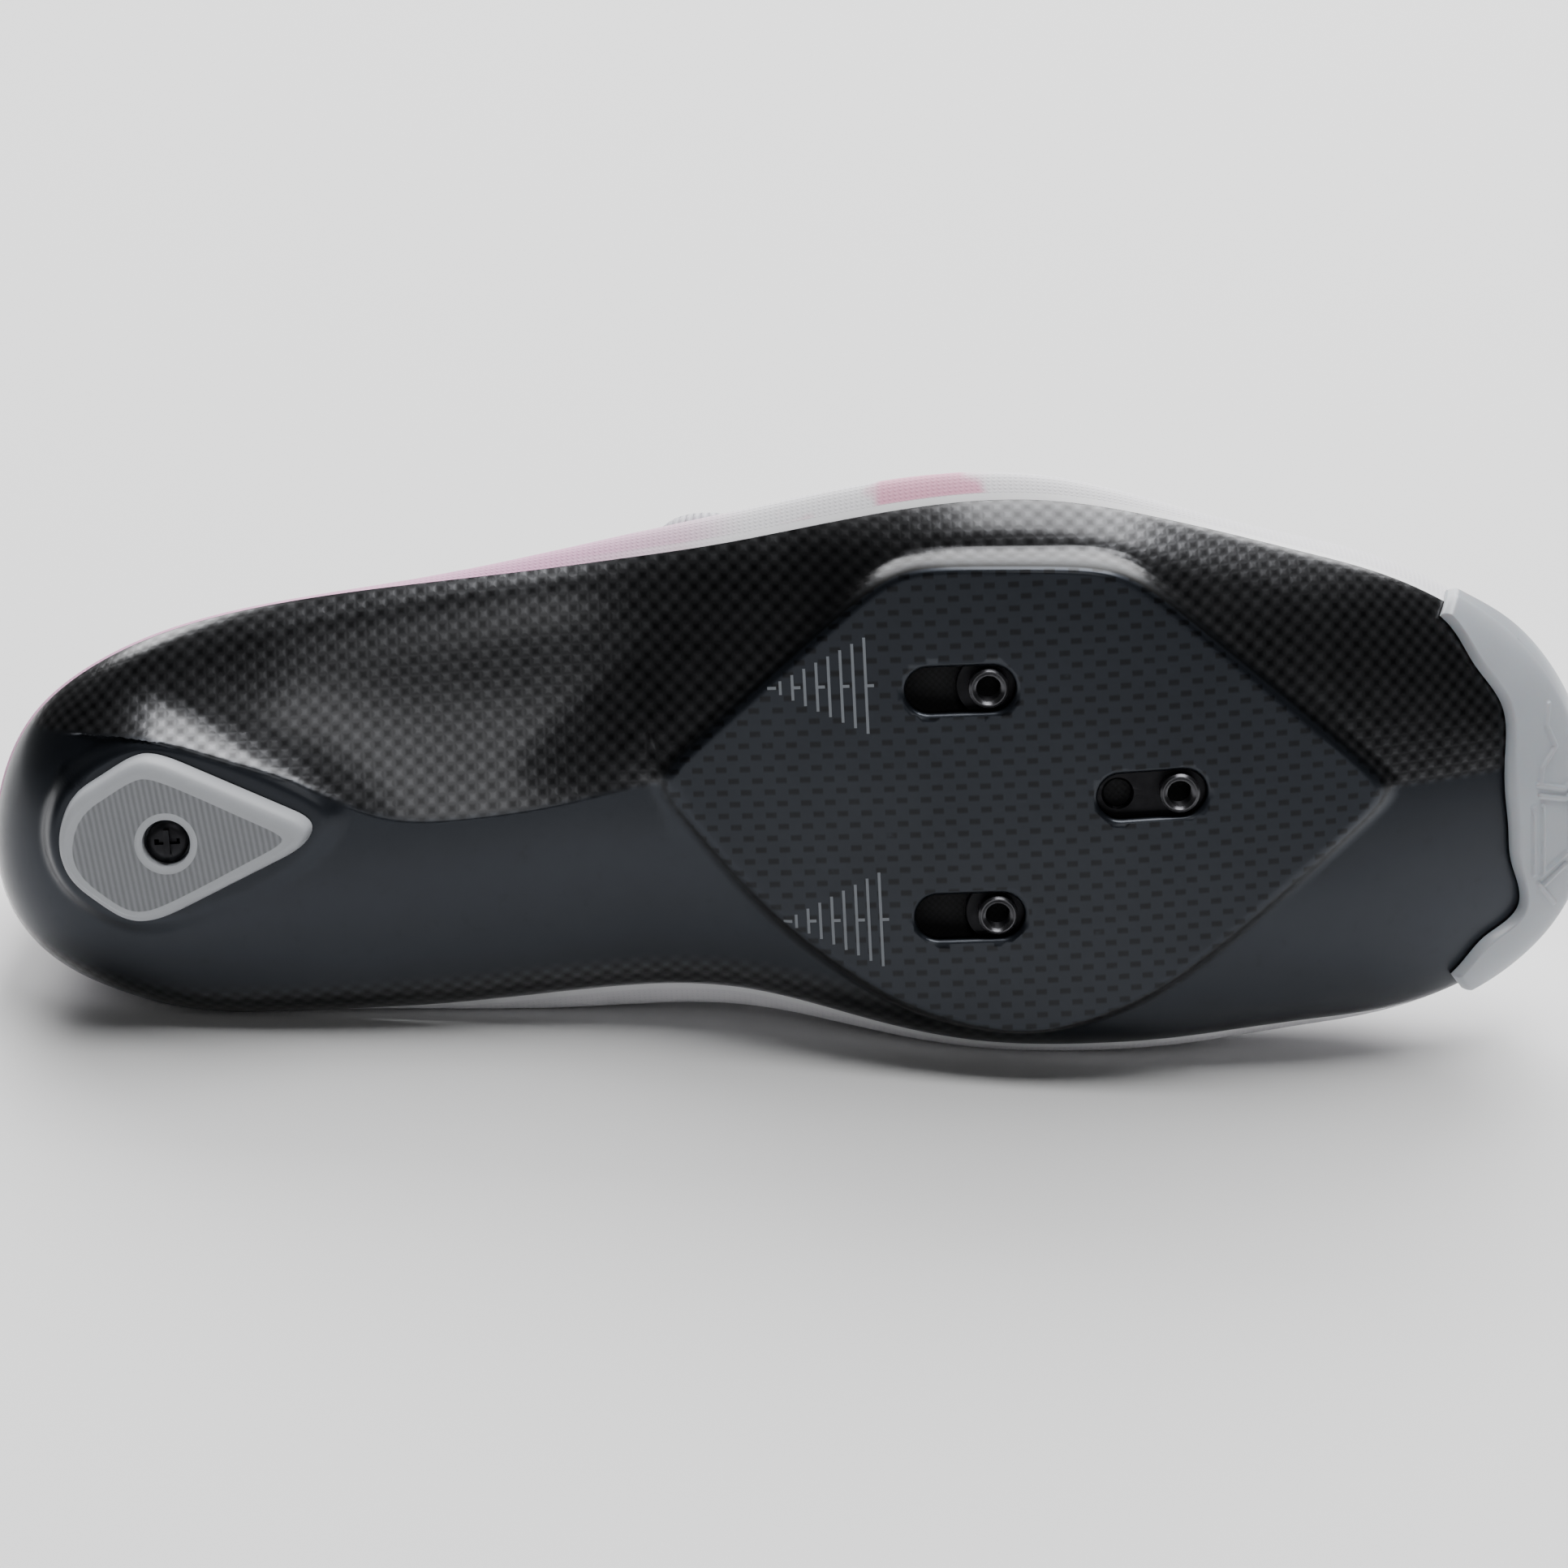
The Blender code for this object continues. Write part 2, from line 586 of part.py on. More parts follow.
def cut_away(target, cutter):
    """Give an object a modifier that cuts another one out of it."""
    cutter.hide_render = True
    cutter.display_type = "WIRE"
    change = target.modifiers.new("cut", "BOOLEAN")
    change.operation = "DIFFERENCE"
    change.object = cutter
    change.solver = "EXACT"


def prism(name, corners, low, high, inset=0.0, finish=None, collection=SHOE):
    """A solid between two flat outlines. The upper one may be drawn in towards the middle."""
    corners = np.asarray(corners)
    middle = corners.mean(axis=0)
    away = corners - middle
    drawn = middle + away * (1 - inset / np.hypot(*away.T))[:, None]
    count = len(corners)
    ring = np.concatenate(
        [np.c_[drawn, np.full(count, low)], np.c_[corners, np.full(count, high)]]
    )
    faces = [tuple(range(count)), tuple(range(count, 2 * count))]
    faces += [(i, (i + 1) % count, count + (i + 1) % count, count + i) for i in range(count)]
    mesh = bpy.data.meshes.new(name)
    mesh.from_pydata(ring.tolist(), [], faces)
    return piece(name, tidy(mesh), finish, collection)


def stadium(x_rear, x_front, y, radius, steps=8):
    """Outline of a slot along the shoe, with round ends."""
    turn = np.linspace(-math.pi / 2, math.pi / 2, steps + 1)
    front = np.c_[x_front - radius + radius * np.cos(turn), y + radius * np.sin(turn)]
    rear = np.c_[x_rear + radius - radius * np.cos(turn), y - radius * np.sin(turn)]
    return np.concatenate([front, rear])


def circle(x, y, radius, steps=20):
    turn = np.linspace(0, 2 * math.pi, steps, endpoint=False)
    return np.c_[x + radius * np.cos(turn), y + radius * np.sin(turn)]


def rounded(corners, radius, steps=3):
    """A convex outline with each corner swapped for a short arc."""
    made = []
    count = len(corners)
    for i in range(count):
        here = corners[i]
        before = corners[i - 1] - here
        after = corners[(i + 1) % count] - here
        start = here + before / np.hypot(*before) * min(radius, np.hypot(*before) / 2.2)
        end = here + after / np.hypot(*after) * min(radius, np.hypot(*after) / 2.2)
        share = np.linspace(0, 1, steps)[:, None]
        made.append((1 - share) ** 2 * start + 2 * share * (1 - share) * here + share**2 * end)
    return np.concatenate(made)


# Finishes
CARBON = material("carbon", (0.020, 0.022, 0.027), 0.32)
RUBBER = material("pad_rubber", (0.36, 0.38, 0.41), 0.55)
BUMPER = material("bumper", (0.42, 0.44, 0.48), 0.40)
STEEL = material("nut_steel", (0.10, 0.10, 0.11), 0.35, 0.9)
BLACK = material("screw_black", (0.015, 0.015, 0.017), 0.40, 0.8)
KNIT = material("upper_knit", (0.86, 0.82, 0.86), 0.75)
LINING = material("insole_foam", (0.10, 0.10, 0.12), 0.90)
TONGUE_CLOTH = material("tongue_cloth", (0.82, 0.78, 0.83), 0.80)
DIAL_GREY = material("dial_grey", (0.55, 0.56, 0.60), 0.45)
BLACK_PLASTIC = material("guide_plastic", (0.04, 0.04, 0.045), 0.50)
LACE_CORD = material("lace_cord", (0.75, 0.75, 0.78), 0.60)


def slots():
    """Name, bolt place and slot of each cleat nut."""
    rear = BOLT_REAR_X
    front = BOLT_REAR_X + BOLT_REACH
    return (
        ("cleat_nut_rear_lateral", rear, -BOLT_SPREAD / 2, 0.0),
        ("cleat_nut_rear_medial", rear, BOLT_SPREAD / 2, 0.0),
        ("cleat_nut_front", front, 0.0, FRONT_PLATE_TAIL),
    )


def slot_face(x_front):
    """Lowest height of the plateau's face along a slot."""
    return float(np.min(plateau_z(np.linspace(x_front - SLOT_LENGTH, x_front, 9))))


def pocket_level(x_front):
    """Floor of the flange's pocket over a slot."""
    return float(np.max(plateau_z(np.linspace(x_front - SLOT_LENGTH, x_front, 9)))) + POCKET_FLOOR


def bed_shares():
    """Rings of the sole's inside, closer together towards the rim."""
    turn = np.linspace(0.0, 1.0, RINGS_INSIDE)[:, None]
    return 1 - (1 - turn) ** 1.6


def make_outsole():
    cut = Slices(*loop_stations(SLICES))
    outer = sole_points(cut, sole_rings(cut))
    inner = bed_points(cut, bed_shares())
    sole = piece("outsole", between("outsole", outer, inner), CARBON)
    for name, x, y, tail in slots():
        front = x + SLOT_FRONT_ROOM
        rear = front - SLOT_LENGTH
        opening = stadium(rear, front, y, SLOT_WIDTH / 2)
        hole = prism(f"slot_{name}", opening, -CUT_BELOW, CUT_ABOVE, collection=CUTTERS)
        cut_away(sole, hole)
        wide = FLANGE_RADIUS + POCKET_SIDE_ROOM
        back = x - NUT_TRAVEL - wide - tail
        room = stadium(back, x + wide, y, wide)
        pocket = prism(f"pocket_{name}", room, pocket_level(front), CUT_ABOVE, collection=CUTTERS)
        cut_away(sole, pocket)
    ring = circle(SCREW_X, SCREW_Y, SCREW_SHANK_RADIUS + GAP, 16)
    cut_away(sole, prism("screw_hole", ring, -CUT_BELOW, CUT_ABOVE, collection=CUTTERS))
    return sole


def make_insole():
    cut = Slices(*loop_stations(SLICES))
    low = bed_points(cut, bed_shares()[:-1])
    low[..., 2] += GAP
    high = low.copy()
    high[..., 2] += INSOLE_THICKNESS
    return piece("insole", between("insole", low, high), LINING)


def make_upper():
    cut = Slices(*loop_stations(SLICES))
    distance, height = upper_sections(cut)
    height = height + GAP
    length, ends = edge_place(cut, distance, height)
    share = np.linspace(0.0, 1.0, RINGS_UPPER)[:, None]
    skin = walk(cut, distance, height, length, share * ends)
    made = piece("upper", surface("upper", skin, True), KNIT)
    wall = made.modifiers.new("wall", "SOLIDIFY")
    wall.thickness = UPPER_WALL
    wall.offset = -1.0
    return made


def crest_strip(x_low, x_high, half_width, depth, rows, columns):
    """Rows of points across the crest of the last, sunk under its surface by the given depth."""
    x = x_low + (x_high - x_low) * np.linspace(0.0, 1.0, rows) ** 1.4
    across = np.linspace(-1.0, 1.0, columns)
    both = []
    for side in (-1, 1):
        cut = Slices(x, np.full(rows, side))
        distance, height = upper_sections(cut)
        want = np.abs(across[np.sign(across) == side])[:, None] * half_width(x)[None, :]
        z = np.stack(
            [np.interp(-want[:, i], -distance[:, i], height[:, i]) for i in range(rows)], axis=1
        )
        px, py = cut.place(want)
        both.append(np.stack([px, py, z], axis=-1))
    middle = np.stack([x, foot_y(x), along(CREST, 1, x) * INSTEP_HEIGHT], axis=-1)[None]
    skin = np.concatenate([both[0], middle, both[1]]).transpose(1, 0, 2)
    along_shoe = np.gradient(skin, axis=0)
    across_shoe = np.gradient(skin, axis=1)
    normal = np.cross(along_shoe, across_shoe)
    normal /= np.linalg.norm(normal, axis=-1, keepdims=True)
    return skin - normal * depth


def make_tongue():
    low = TONGUE_TOP * SHOE_LENGTH
    high = (THROAT_END + 0.03) * SHOE_LENGTH

    def half_width(x):
        gap = np.maximum(along(THROAT, 1, x), 0.0) * THROAT_WIDTH / 2
        rest = np.clip(1 - (x - low) / TONGUE_ROUND, 0.0, 0.96)
        return (gap + TONGUE_OVERLAP) * np.sqrt(1 - rest**2)

    skin = crest_strip(low, high, half_width, UPPER_WALL + 2 * GAP, 15, 11)
    made = piece("tongue", surface("tongue", skin, False), TONGUE_CLOTH)
    wall = made.modifiers.new("wall", "SOLIDIFY")
    wall.thickness = TONGUE_THICKNESS
    wall.offset = -1.0
    return made


def make_pad():
    corners = rounded(polygon(PAD, HEEL_WIDTH), 0.004)
    pad = prism("heel_pad", corners, 0.0, PAD_THICKNESS, PAD_DRAFT, RUBBER)
    ring = circle(SCREW_X, SCREW_Y, SCREW_HOLE_RADIUS, 24)
    cut_away(pad, prism("pad_hole", ring, -CUT_BELOW, CUT_BELOW, collection=CUTTERS))
    return pad


def make_screw():
    head_low = HEEL_SEAT - GAP - SCREW_HEAD_HEIGHT
    mesh = bpy.data.meshes.new("heel_screw")
    work = bmesh.new()
    head = bmesh.ops.create_cone(
        work, cap_ends=True, segments=24, radius1=SCREW_HEAD_RADIUS, radius2=SCREW_HEAD_RADIUS,
        depth=SCREW_HEAD_HEIGHT,
    )
    bmesh.ops.translate(
        work, verts=head["verts"], vec=(SCREW_X, SCREW_Y, head_low + SCREW_HEAD_HEIGHT / 2)
    )
    work.to_mesh(mesh)
    work.free()
    screw = piece("heel_screw", mesh, BLACK)
    shank = prism(
        "screw_shank", circle(SCREW_X, SCREW_Y, SCREW_SHANK_RADIUS, 16),
        head_low + SCREW_HEAD_HEIGHT / 2, HEEL_SEAT + SHELL_WALL - GAP, collection=CUTTERS,
    )
    shank.hide_render = True
    shank.display_type = "WIRE"
    join = screw.modifiers.new("join", "BOOLEAN")
    join.operation = "UNION"
    join.object = shank
    join.solver = "EXACT"
    bars = ((SCREW_CROSS_SPAN, SCREW_CROSS_WIDTH), (SCREW_CROSS_WIDTH, SCREW_CROSS_SPAN))
    for k, (wide, deep) in enumerate(bars):
        bar = np.array([(-wide, -deep), (wide, -deep), (wide, deep), (-wide, deep)]) / 2
        bar = bar + np.array([SCREW_X, SCREW_Y])
        depth = head_low + SCREW_CROSS_DEPTH
        cut_away(screw, prism(f"cross_{k}", bar, head_low - CUT_BELOW, depth, collection=CUTTERS))
    return screw


def make_nut(name, x, y, tail):
    """A threaded barrel in its slot, with a flange that slides in the pocket above."""
    front = x + SLOT_FRONT_ROOM
    floor = pocket_level(front) + GAP
    low = slot_face(front) + NUT_RECESS
    flange = stadium(x - FLANGE_RADIUS - tail, x + FLANGE_RADIUS, y, FLANGE_RADIUS, 12)
    nut = prism(name, flange, floor, floor + FLANGE_THICKNESS, 0.0, STEEL)
    barrel = prism(
        f"barrel_{name}", circle(x, y, NUT_RADIUS, 24), low, floor + FLANGE_THICKNESS / 2, collection=CUTTERS
    )
    barrel.hide_render = True
    barrel.display_type = "WIRE"
    join = nut.modifiers.new("join", "BOOLEAN")
    join.operation = "UNION"
    join.object = barrel
    join.solver = "EXACT"
    bore = prism(f"bore_{name}", circle(x, y, NUT_BORE, 20), -CUT_BELOW, CUT_ABOVE, collection=CUTTERS)
    cut_away(nut, bore)
    if tail:
        ring = circle(x - tail, y, NUT_BORE, 20)
        cut_away(nut, prism(f"second_{name}", ring, -CUT_BELOW, CUT_ABOVE, collection=CUTTERS))
    at = Matrix.Translation((x, y, low))
    nut.data.transform(at.inverted())
    nut.matrix_world = at
    return nut


def normals_of(points):
    """Normals of a grid of points."""
    normal = np.cross(np.gradient(points, axis=1), np.gradient(points, axis=0))
    return normal / np.linalg.norm(normal, axis=-1, keepdims=True)


def make_bumper():
    """The guard wraps from under the toe, over the rim, and a little way up the upper."""
    stations, sides = loop_stations(SLICES)
    turn = np.degrees((stations - TOE_CENTRE) / (TOE_WIDTH / 2))
    ahead = sides * (90 - turn)
    here = (turn > 90 - BUMPER_ARM_TURN - 1) & (np.abs(ahead) <= BUMPER_ARM_TURN)
    cut = Slices(stations[here], sides[here])
    ahead = ahead[here]
    start = spline(ahead, column(BUMPER_EDGE, 0), column(BUMPER_EDGE, 1))
    under = start + (1 - start) * np.linspace(0.0, 1.0, 6)[:, None]
    low = sole_points(cut, under)
    distance, height = upper_sections(cut)
    height = height + GAP
    length, _ = edge_place(cut, distance, height)
    fade = smooth(0.0, 0.5, 1 - np.abs(ahead) / BUMPER_ARM_TURN)
    wrap = BUMPER_ARM_WRAP + (BUMPER_WRAP - BUMPER_ARM_WRAP) * fade
    high = walk(cut, distance, height, length, wrap * np.linspace(0.25, 1.0, 4)[:, None])
    skin = np.concatenate([low, high])
    away = normals_of(skin)
    if np.mean(away[..., 0]) < 0:
        away = -away
    rows, count = skin.shape[:2]
    by_row = np.clip(np.minimum(np.arange(rows), np.arange(rows)[::-1]) / 1.5, 0.0, 1.0)[:, None]
    by_turn = np.clip(np.minimum(np.arange(count), np.arange(count)[::-1]) / 1.5, 0.0, 1.0)[None]
    wall = BUMPER_WALL * (0.4 + 0.6 * np.sqrt(by_row * by_turn))
    inner = skin + away * 2 * GAP
    outer = inner + away * wall[..., None]
    return piece("toe_bumper", slab("toe_bumper", inner, outer), BUMPER)


def on_last(x, offset, lift):
    """A point above the last's surface. offset is its signed distance from the crest, lift its height."""
    side = -1.0 if offset < 0 else 1.0
    near = np.array([x - 0.002, x, x + 0.002])
    cut = Slices(near, np.full(3, side))
    distance, height = upper_sections(cut)
    places = []
    for want in (abs(offset), abs(offset) + 0.001):
        z = np.array([np.interp(-want, -distance[:, i], height[:, i]) for i in range(3)])
        px, py = cut.place(np.full(3, want))
        places.append(np.stack([px, py, z], axis=-1))
    ahead = places[0][2] - places[0][0]
    out = places[1][1] - places[0][1]
    normal = np.cross(ahead, out)
    normal = normal / np.linalg.norm(normal)
    if normal[2] < 0:
        normal = -normal
    return places[0][1] + normal * lift, normal, ahead / np.linalg.norm(ahead)


def on_side(x, z):
    """A point of the last's lateral side at a height, with its outward normal and the direction ahead."""
    near = np.array([x - 0.003, x, x + 0.003])
    cut = Slices(near, np.full(3, -1.0))
    distance, height = upper_sections(cut)
    places = []
    for level in (z, z + 0.002):
        d = np.array([np.interp(level, height[:, i], distance[:, i]) for i in range(3)])
        px, py = cut.place(d)
        places.append(np.stack([px, py, np.full(3, level)], axis=-1))
    ahead = places[0][2] - places[0][0]
    up = places[1][1] - places[0][1]
    normal = np.cross(up, ahead)
    normal = normal / np.linalg.norm(normal)
    if normal[1] > 0:
        normal = -normal
    return places[0][1], normal, ahead / np.linalg.norm(ahead)


def skin_tree(thing):
    graph = bpy.context.evaluated_depsgraph_get()
    return BVHTree.FromObject(thing, graph)


def seated(name, outline, origin, normal, ahead, top, skin, finish, rings=3):
    """A flat-topped block whose underside follows the surface it sits on. outline: (ahead, across) pairs."""
    across = np.cross(normal, ahead)
    outline = np.asarray(outline)
    shares = np.linspace(0.0, 1.0, rings)
    low = []
    high = []
    for share in shares:
        flat = origin + share * (outline[:, :1] * ahead + outline[:, 1:] * across)
        hits = []
        for point in flat:
            start = Vector(point + normal * 0.02)
            hit = skin.ray_cast(start, Vector(-normal))[0]
            hits.append(np.array(hit) + normal * GAP * 2)
        low.append(np.array(hits))
        high.append(flat + normal * top)
    low_grid = np.array(low)
    high_grid = np.array([high[0], high[-1]])
    return piece(name, between(name, low_grid, high_grid), finish)


def make_dial(upper):
    """Base moulded to the upper's curve, and a knob with a knurled edge."""
    origin, normal, ahead = on_side(DIAL_X, DIAL_Z)
    turn = np.linspace(0, 2 * math.pi, 32, endpoint=False)
    ring = DIAL_BASE_RADIUS * np.c_[np.cos(turn), np.sin(turn)]
    skin = skin_tree(upper)
    base = seated("dial_base", ring, origin, normal, ahead, DIAL_BASE_HEIGHT, skin, BLACK_PLASTIC, 5)
    count = 2 * DIAL_TEETH
    turn = np.linspace(0, 2 * math.pi, count, endpoint=False)
    reach = DIAL_RADIUS - DIAL_TOOTH * (np.arange(count) % 2)
    edge = reach[:, None] * np.c_[np.cos(turn), np.sin(turn)]
    knob = prism("dial_knob", edge, 0.0, DIAL_HEIGHT, 0.0, DIAL_GREY)
    across = np.cross(normal, ahead)
    place = Matrix(np.column_stack([ahead, across, normal]).tolist()).to_4x4()
    place.translation = Vector(origin + normal * (DIAL_BASE_HEIGHT + GAP))
    knob.data.transform(place)
    return base, knob


def throat_edge(x):
    """Distance of the throat's edge from the crest."""
    return float(np.maximum(along(THROAT, 1, x), 0.0) * THROAT_WIDTH / 2)


def lace_route():
    """Points of the lace: from the dial to the first guide, then across the tongue from guide to guide."""
    route = []
    for share, side in GUIDES:
        x = share * SHOE_LENGTH
        edge = throat_edge(x) + GUIDE_SET_BACK
        for step, out in ((-1.0, -0.9), (-0.8, 0.4), (0.0, 1.0), (0.8, 0.4), (1.0, -0.9)):
            point, _, _ = on_last(x + step * LACE_TURN, side * (edge + out * LACE_TURN), LACE_LIFT)
            route.append(point)
        route.append(None)
    made = []
    for i, point in enumerate(route[:-1]):
        if point is None:
            before, after = route[i - 1], route[i + 1]
            for share in (0.3, 0.7):
                middle = before + (after - before) * share
                offset = middle[1] - float(foot_y(middle[0]))
                over, _, _ = on_last(middle[0], offset, LACE_LIFT)
                made.append(np.array([middle[0], middle[1], max(middle[2], over[2])]))
        else:
            made.append(point)
    return np.array(made)


def tube(name, points, radius, finish, collection=SHOE):
    """A round cord through points, as a closed mesh."""
    curve = bpy.data.curves.new(name, "CURVE")
    curve.dimensions = "3D"
    curve.bevel_depth = radius
    curve.bevel_resolution = 1
    curve.use_fill_caps = True
    line = curve.splines.new("POLY")
    line.points.add(len(points) - 1)
    for slot, point in zip(line.points, points):
        slot.co = (*point, 1.0)
    holder = bpy.data.objects.new(f"{name}_line", curve)
    bpy.context.scene.collection.objects.link(holder)
    graph = bpy.context.evaluated_depsgraph_get()
    mesh = bpy.data.meshes.new_from_object(holder.evaluated_get(graph))
    bpy.data.objects.remove(holder)
    mesh.name = name
    return piece(name, tidy(mesh), finish, collection)


def make_lace(upper):
    """The lace and the guides, each a block on the throat's edge with the lace's channel cut through it."""
    route = lace_route()
    lace = tube("lace", route, LACE_RADIUS, LACE_CORD)
    room = tube("lace_room", route, LACE_RADIUS + 1.5 * GAP, None, CUTTERS)
    skin = skin_tree(upper)
    made = [lace]
    block = rounded(
        np.array([(-1, -1), (1, -1), (1, 1), (-1, 1)]) / 2 * np.array([GUIDE_LENGTH, GUIDE_WIDTH]), 0.002
    )
    names = {1: "medial", -1: "lateral"}
    count = {1: 0, -1: 0}
    for share, side in GUIDES:
        count[side] += 1
        x = share * SHOE_LENGTH
        edge = throat_edge(x) + GUIDE_SET_BACK + GUIDE_WIDTH / 4
        origin, normal, ahead = on_last(x, side * edge, 0.0)
        name = f"lace_guide_{names[side]}_{count[side]}"
        guide = seated(name, block, origin, normal, ahead, GUIDE_HEIGHT, skin, BLACK_PLASTIC)
        cut_away(guide, room)
        made.append(guide)
    return made


def corner_points(things):
    graph = bpy.context.evaluated_depsgraph_get()
    found = []
    for thing in things:
        mesh = thing.evaluated_get(graph).to_mesh()
        points = np.empty(3 * len(mesh.vertices))
        mesh.vertices.foreach_get("co", points)
        place = np.array(thing.matrix_world)
        found.append(points.reshape(-1, 3) @ place[:3, :3].T + place[:3, 3])
    return np.concatenate(found)


def lay_down(things, helpers, sole, upper):
    """Turn the shoe onto its medial side, resting on forefoot, heel rim and collar, and stand it on Z = 0."""
    skin = corner_points([upper])
    shell = corner_points([sole])
    both = np.concatenate([skin, shell])
    groups = (
        both[both[:, 0] > 0.55 * SHOE_LENGTH],
        shell[shell[:, 0] < 0.30 * SHOE_LENGTH],
        skin[(skin[:, 2] > 0.60 * COLLAR_HEIGHT) & (skin[:, 0] < 0.45 * SHOE_LENGTH)],
    )
    down = np.array([0.0, 1.0, -0.1])
    for _ in range(12):
        feet = [group[np.argmax(group @ down)] for group in groups]
        down = np.cross(feet[1] - feet[0], feet[2] - feet[0])
        down = down / np.linalg.norm(down) * (1 if down[1] > 0 else -1)
    forward = np.array([1.0, 0.0, 0.0]) - down * down[0]
    forward = forward / np.linalg.norm(forward)
    turn = np.array([forward, np.cross(-down, forward), -down])
    laid = corner_points(things) @ turn.T
    low, high = laid.min(axis=0), laid.max(axis=0)
    shift = -np.array([(low[0] + high[0]) / 2, (low[1] + high[1]) / 2, low[2]])
    move = Matrix(turn.tolist()).to_4x4()
    move.translation = Vector(shift)
    for thing in things + helpers:
        thing.matrix_world = move @ thing.matrix_world


def make_all():
    upper = make_upper()
    sole = make_outsole()
    made = [sole, upper, make_insole(), make_tongue(), make_pad(), make_screw(), make_bumper()]
    made += [make_nut(*slot) for slot in slots()]
    made += make_dial(upper)
    made += make_lace(upper)
    for item in made:
        shade(item)
    lay_down(made, list(CUTTERS.objects), sole, upper)
    return made


PIECES = make_all()
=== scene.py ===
# %% [markdown]
# # Right road cycling shoe, lying on its medial side
# Every surface is worked out in the shoe's own frame, in metres: X from heel to toe, Y towards the big toe
# (medial), Z from the tread up to the foot. One rotation lays the finished points down on the floor.

import math

import bmesh
import bpy
import numpy as np
from mathutils import Matrix, Vector


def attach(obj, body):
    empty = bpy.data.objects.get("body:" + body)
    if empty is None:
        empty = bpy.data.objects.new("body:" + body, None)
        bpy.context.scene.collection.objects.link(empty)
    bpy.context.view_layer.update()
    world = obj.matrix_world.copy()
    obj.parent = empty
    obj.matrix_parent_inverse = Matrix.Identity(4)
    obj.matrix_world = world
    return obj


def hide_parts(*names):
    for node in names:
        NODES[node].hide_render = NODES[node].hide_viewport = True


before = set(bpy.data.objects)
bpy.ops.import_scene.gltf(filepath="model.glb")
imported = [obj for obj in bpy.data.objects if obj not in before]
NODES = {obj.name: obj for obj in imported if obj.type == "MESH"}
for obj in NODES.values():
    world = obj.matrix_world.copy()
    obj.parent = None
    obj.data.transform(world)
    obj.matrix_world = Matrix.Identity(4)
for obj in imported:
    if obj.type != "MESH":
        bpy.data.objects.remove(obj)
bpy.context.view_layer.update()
print("nodes", sorted(NODES))

# %% [markdown]
# ## Sizes
# A shoe is built on a last, and a few sizes say what last it is: length, ball, waist, heel and instep. The same
# values drive the solids, so the dressed pieces and the solids can't drift apart. They could be measured off the
# solids' meshes instead, but a named size can be read and changed. All are in metres.

# %% Sizes
SHOE_LENGTH = 0.2790
BALL_WIDTH = 0.0990
WAIST_WIDTH = 0.0780
HEEL_WIDTH = 0.0730
TOE_WIDTH = 0.0790
ARCH_RISE = 0.0086
TOE_SPRING = 0.0200
HEEL_SEAT = 0.0036
RIM_HEIGHT = 0.0200
SHELL_WALL = 0.0031
RIM_WALL = 0.0022
PLATEAU_STEP = 0.0018
UPPER_WALL = 0.0018
UPPER_BULGE = 0.0050
INSTEP_HEIGHT = 0.1000
COLLAR_HEIGHT = 0.0800
THROAT_WIDTH = 0.0300
TONGUE_THICKNESS = 0.0030
TONGUE_OVERLAP = 0.0080
TONGUE_TOP = 0.345
TONGUE_ROUND = 0.0160
INSOLE_THICKNESS = 0.0030
BOLT_SPREAD = 0.0400
BOLT_REACH = 0.0320
BOLT_REAR_X = 0.1745
SLOT_WIDTH = 0.0080
SLOT_LENGTH = 0.0188
SLOT_FRONT_ROOM = 0.0046
NUT_RADIUS = 0.0034
NUT_BORE = 0.0024
NUT_RECESS = 0.0004
FLANGE_RADIUS = 0.0056
FLANGE_THICKNESS = 0.0012
FRONT_PLATE_TAIL = 0.0105
POCKET_FLOOR = 0.0018
POCKET_SIDE_ROOM = 0.0007
NUT_TRAVEL = 0.0100
SCREW_X = 0.0326
SCREW_Y = -0.0006
SCREW_HEAD_RADIUS = 0.0036
SCREW_HEAD_HEIGHT = 0.0015
BUMPER_WALL = 0.0020
BUMPER_WRAP = 0.0080
BUMPER_ARM_WRAP = 0.0030
DIAL_X = 0.12722
DIAL_Z = 0.0712
DIAL_BASE_RADIUS = 0.0118
DIAL_BASE_HEIGHT = 0.0024
DIAL_RADIUS = 0.0104
DIAL_HEIGHT = 0.0062
DIAL_TEETH = 40
DIAL_TOOTH = 0.0005
LACE_RADIUS = 0.0008
LACE_LIFT = 0.0016
GUIDE_LENGTH = 0.0090
GUIDE_WIDTH = 0.0075
GUIDE_HEIGHT = 0.0030
GUIDE_SET_BACK = 0.0032
LACE_TURN = 0.0016
GAP = 0.0003
HEEL_CENTRE = 0.122 * SHOE_LENGTH
TOE_CENTRE = 0.832 * SHOE_LENGTH
print("length", SHOE_LENGTH, "ball", BALL_WIDTH, "heel", HEEL_WIDTH)

# %% [markdown]
# ## Tables of sections
# A last is drawn as sections at places along its length. Each table has a row for each section, and its numbers
# are shares of a named size, so that the whole form follows when a size is changed.

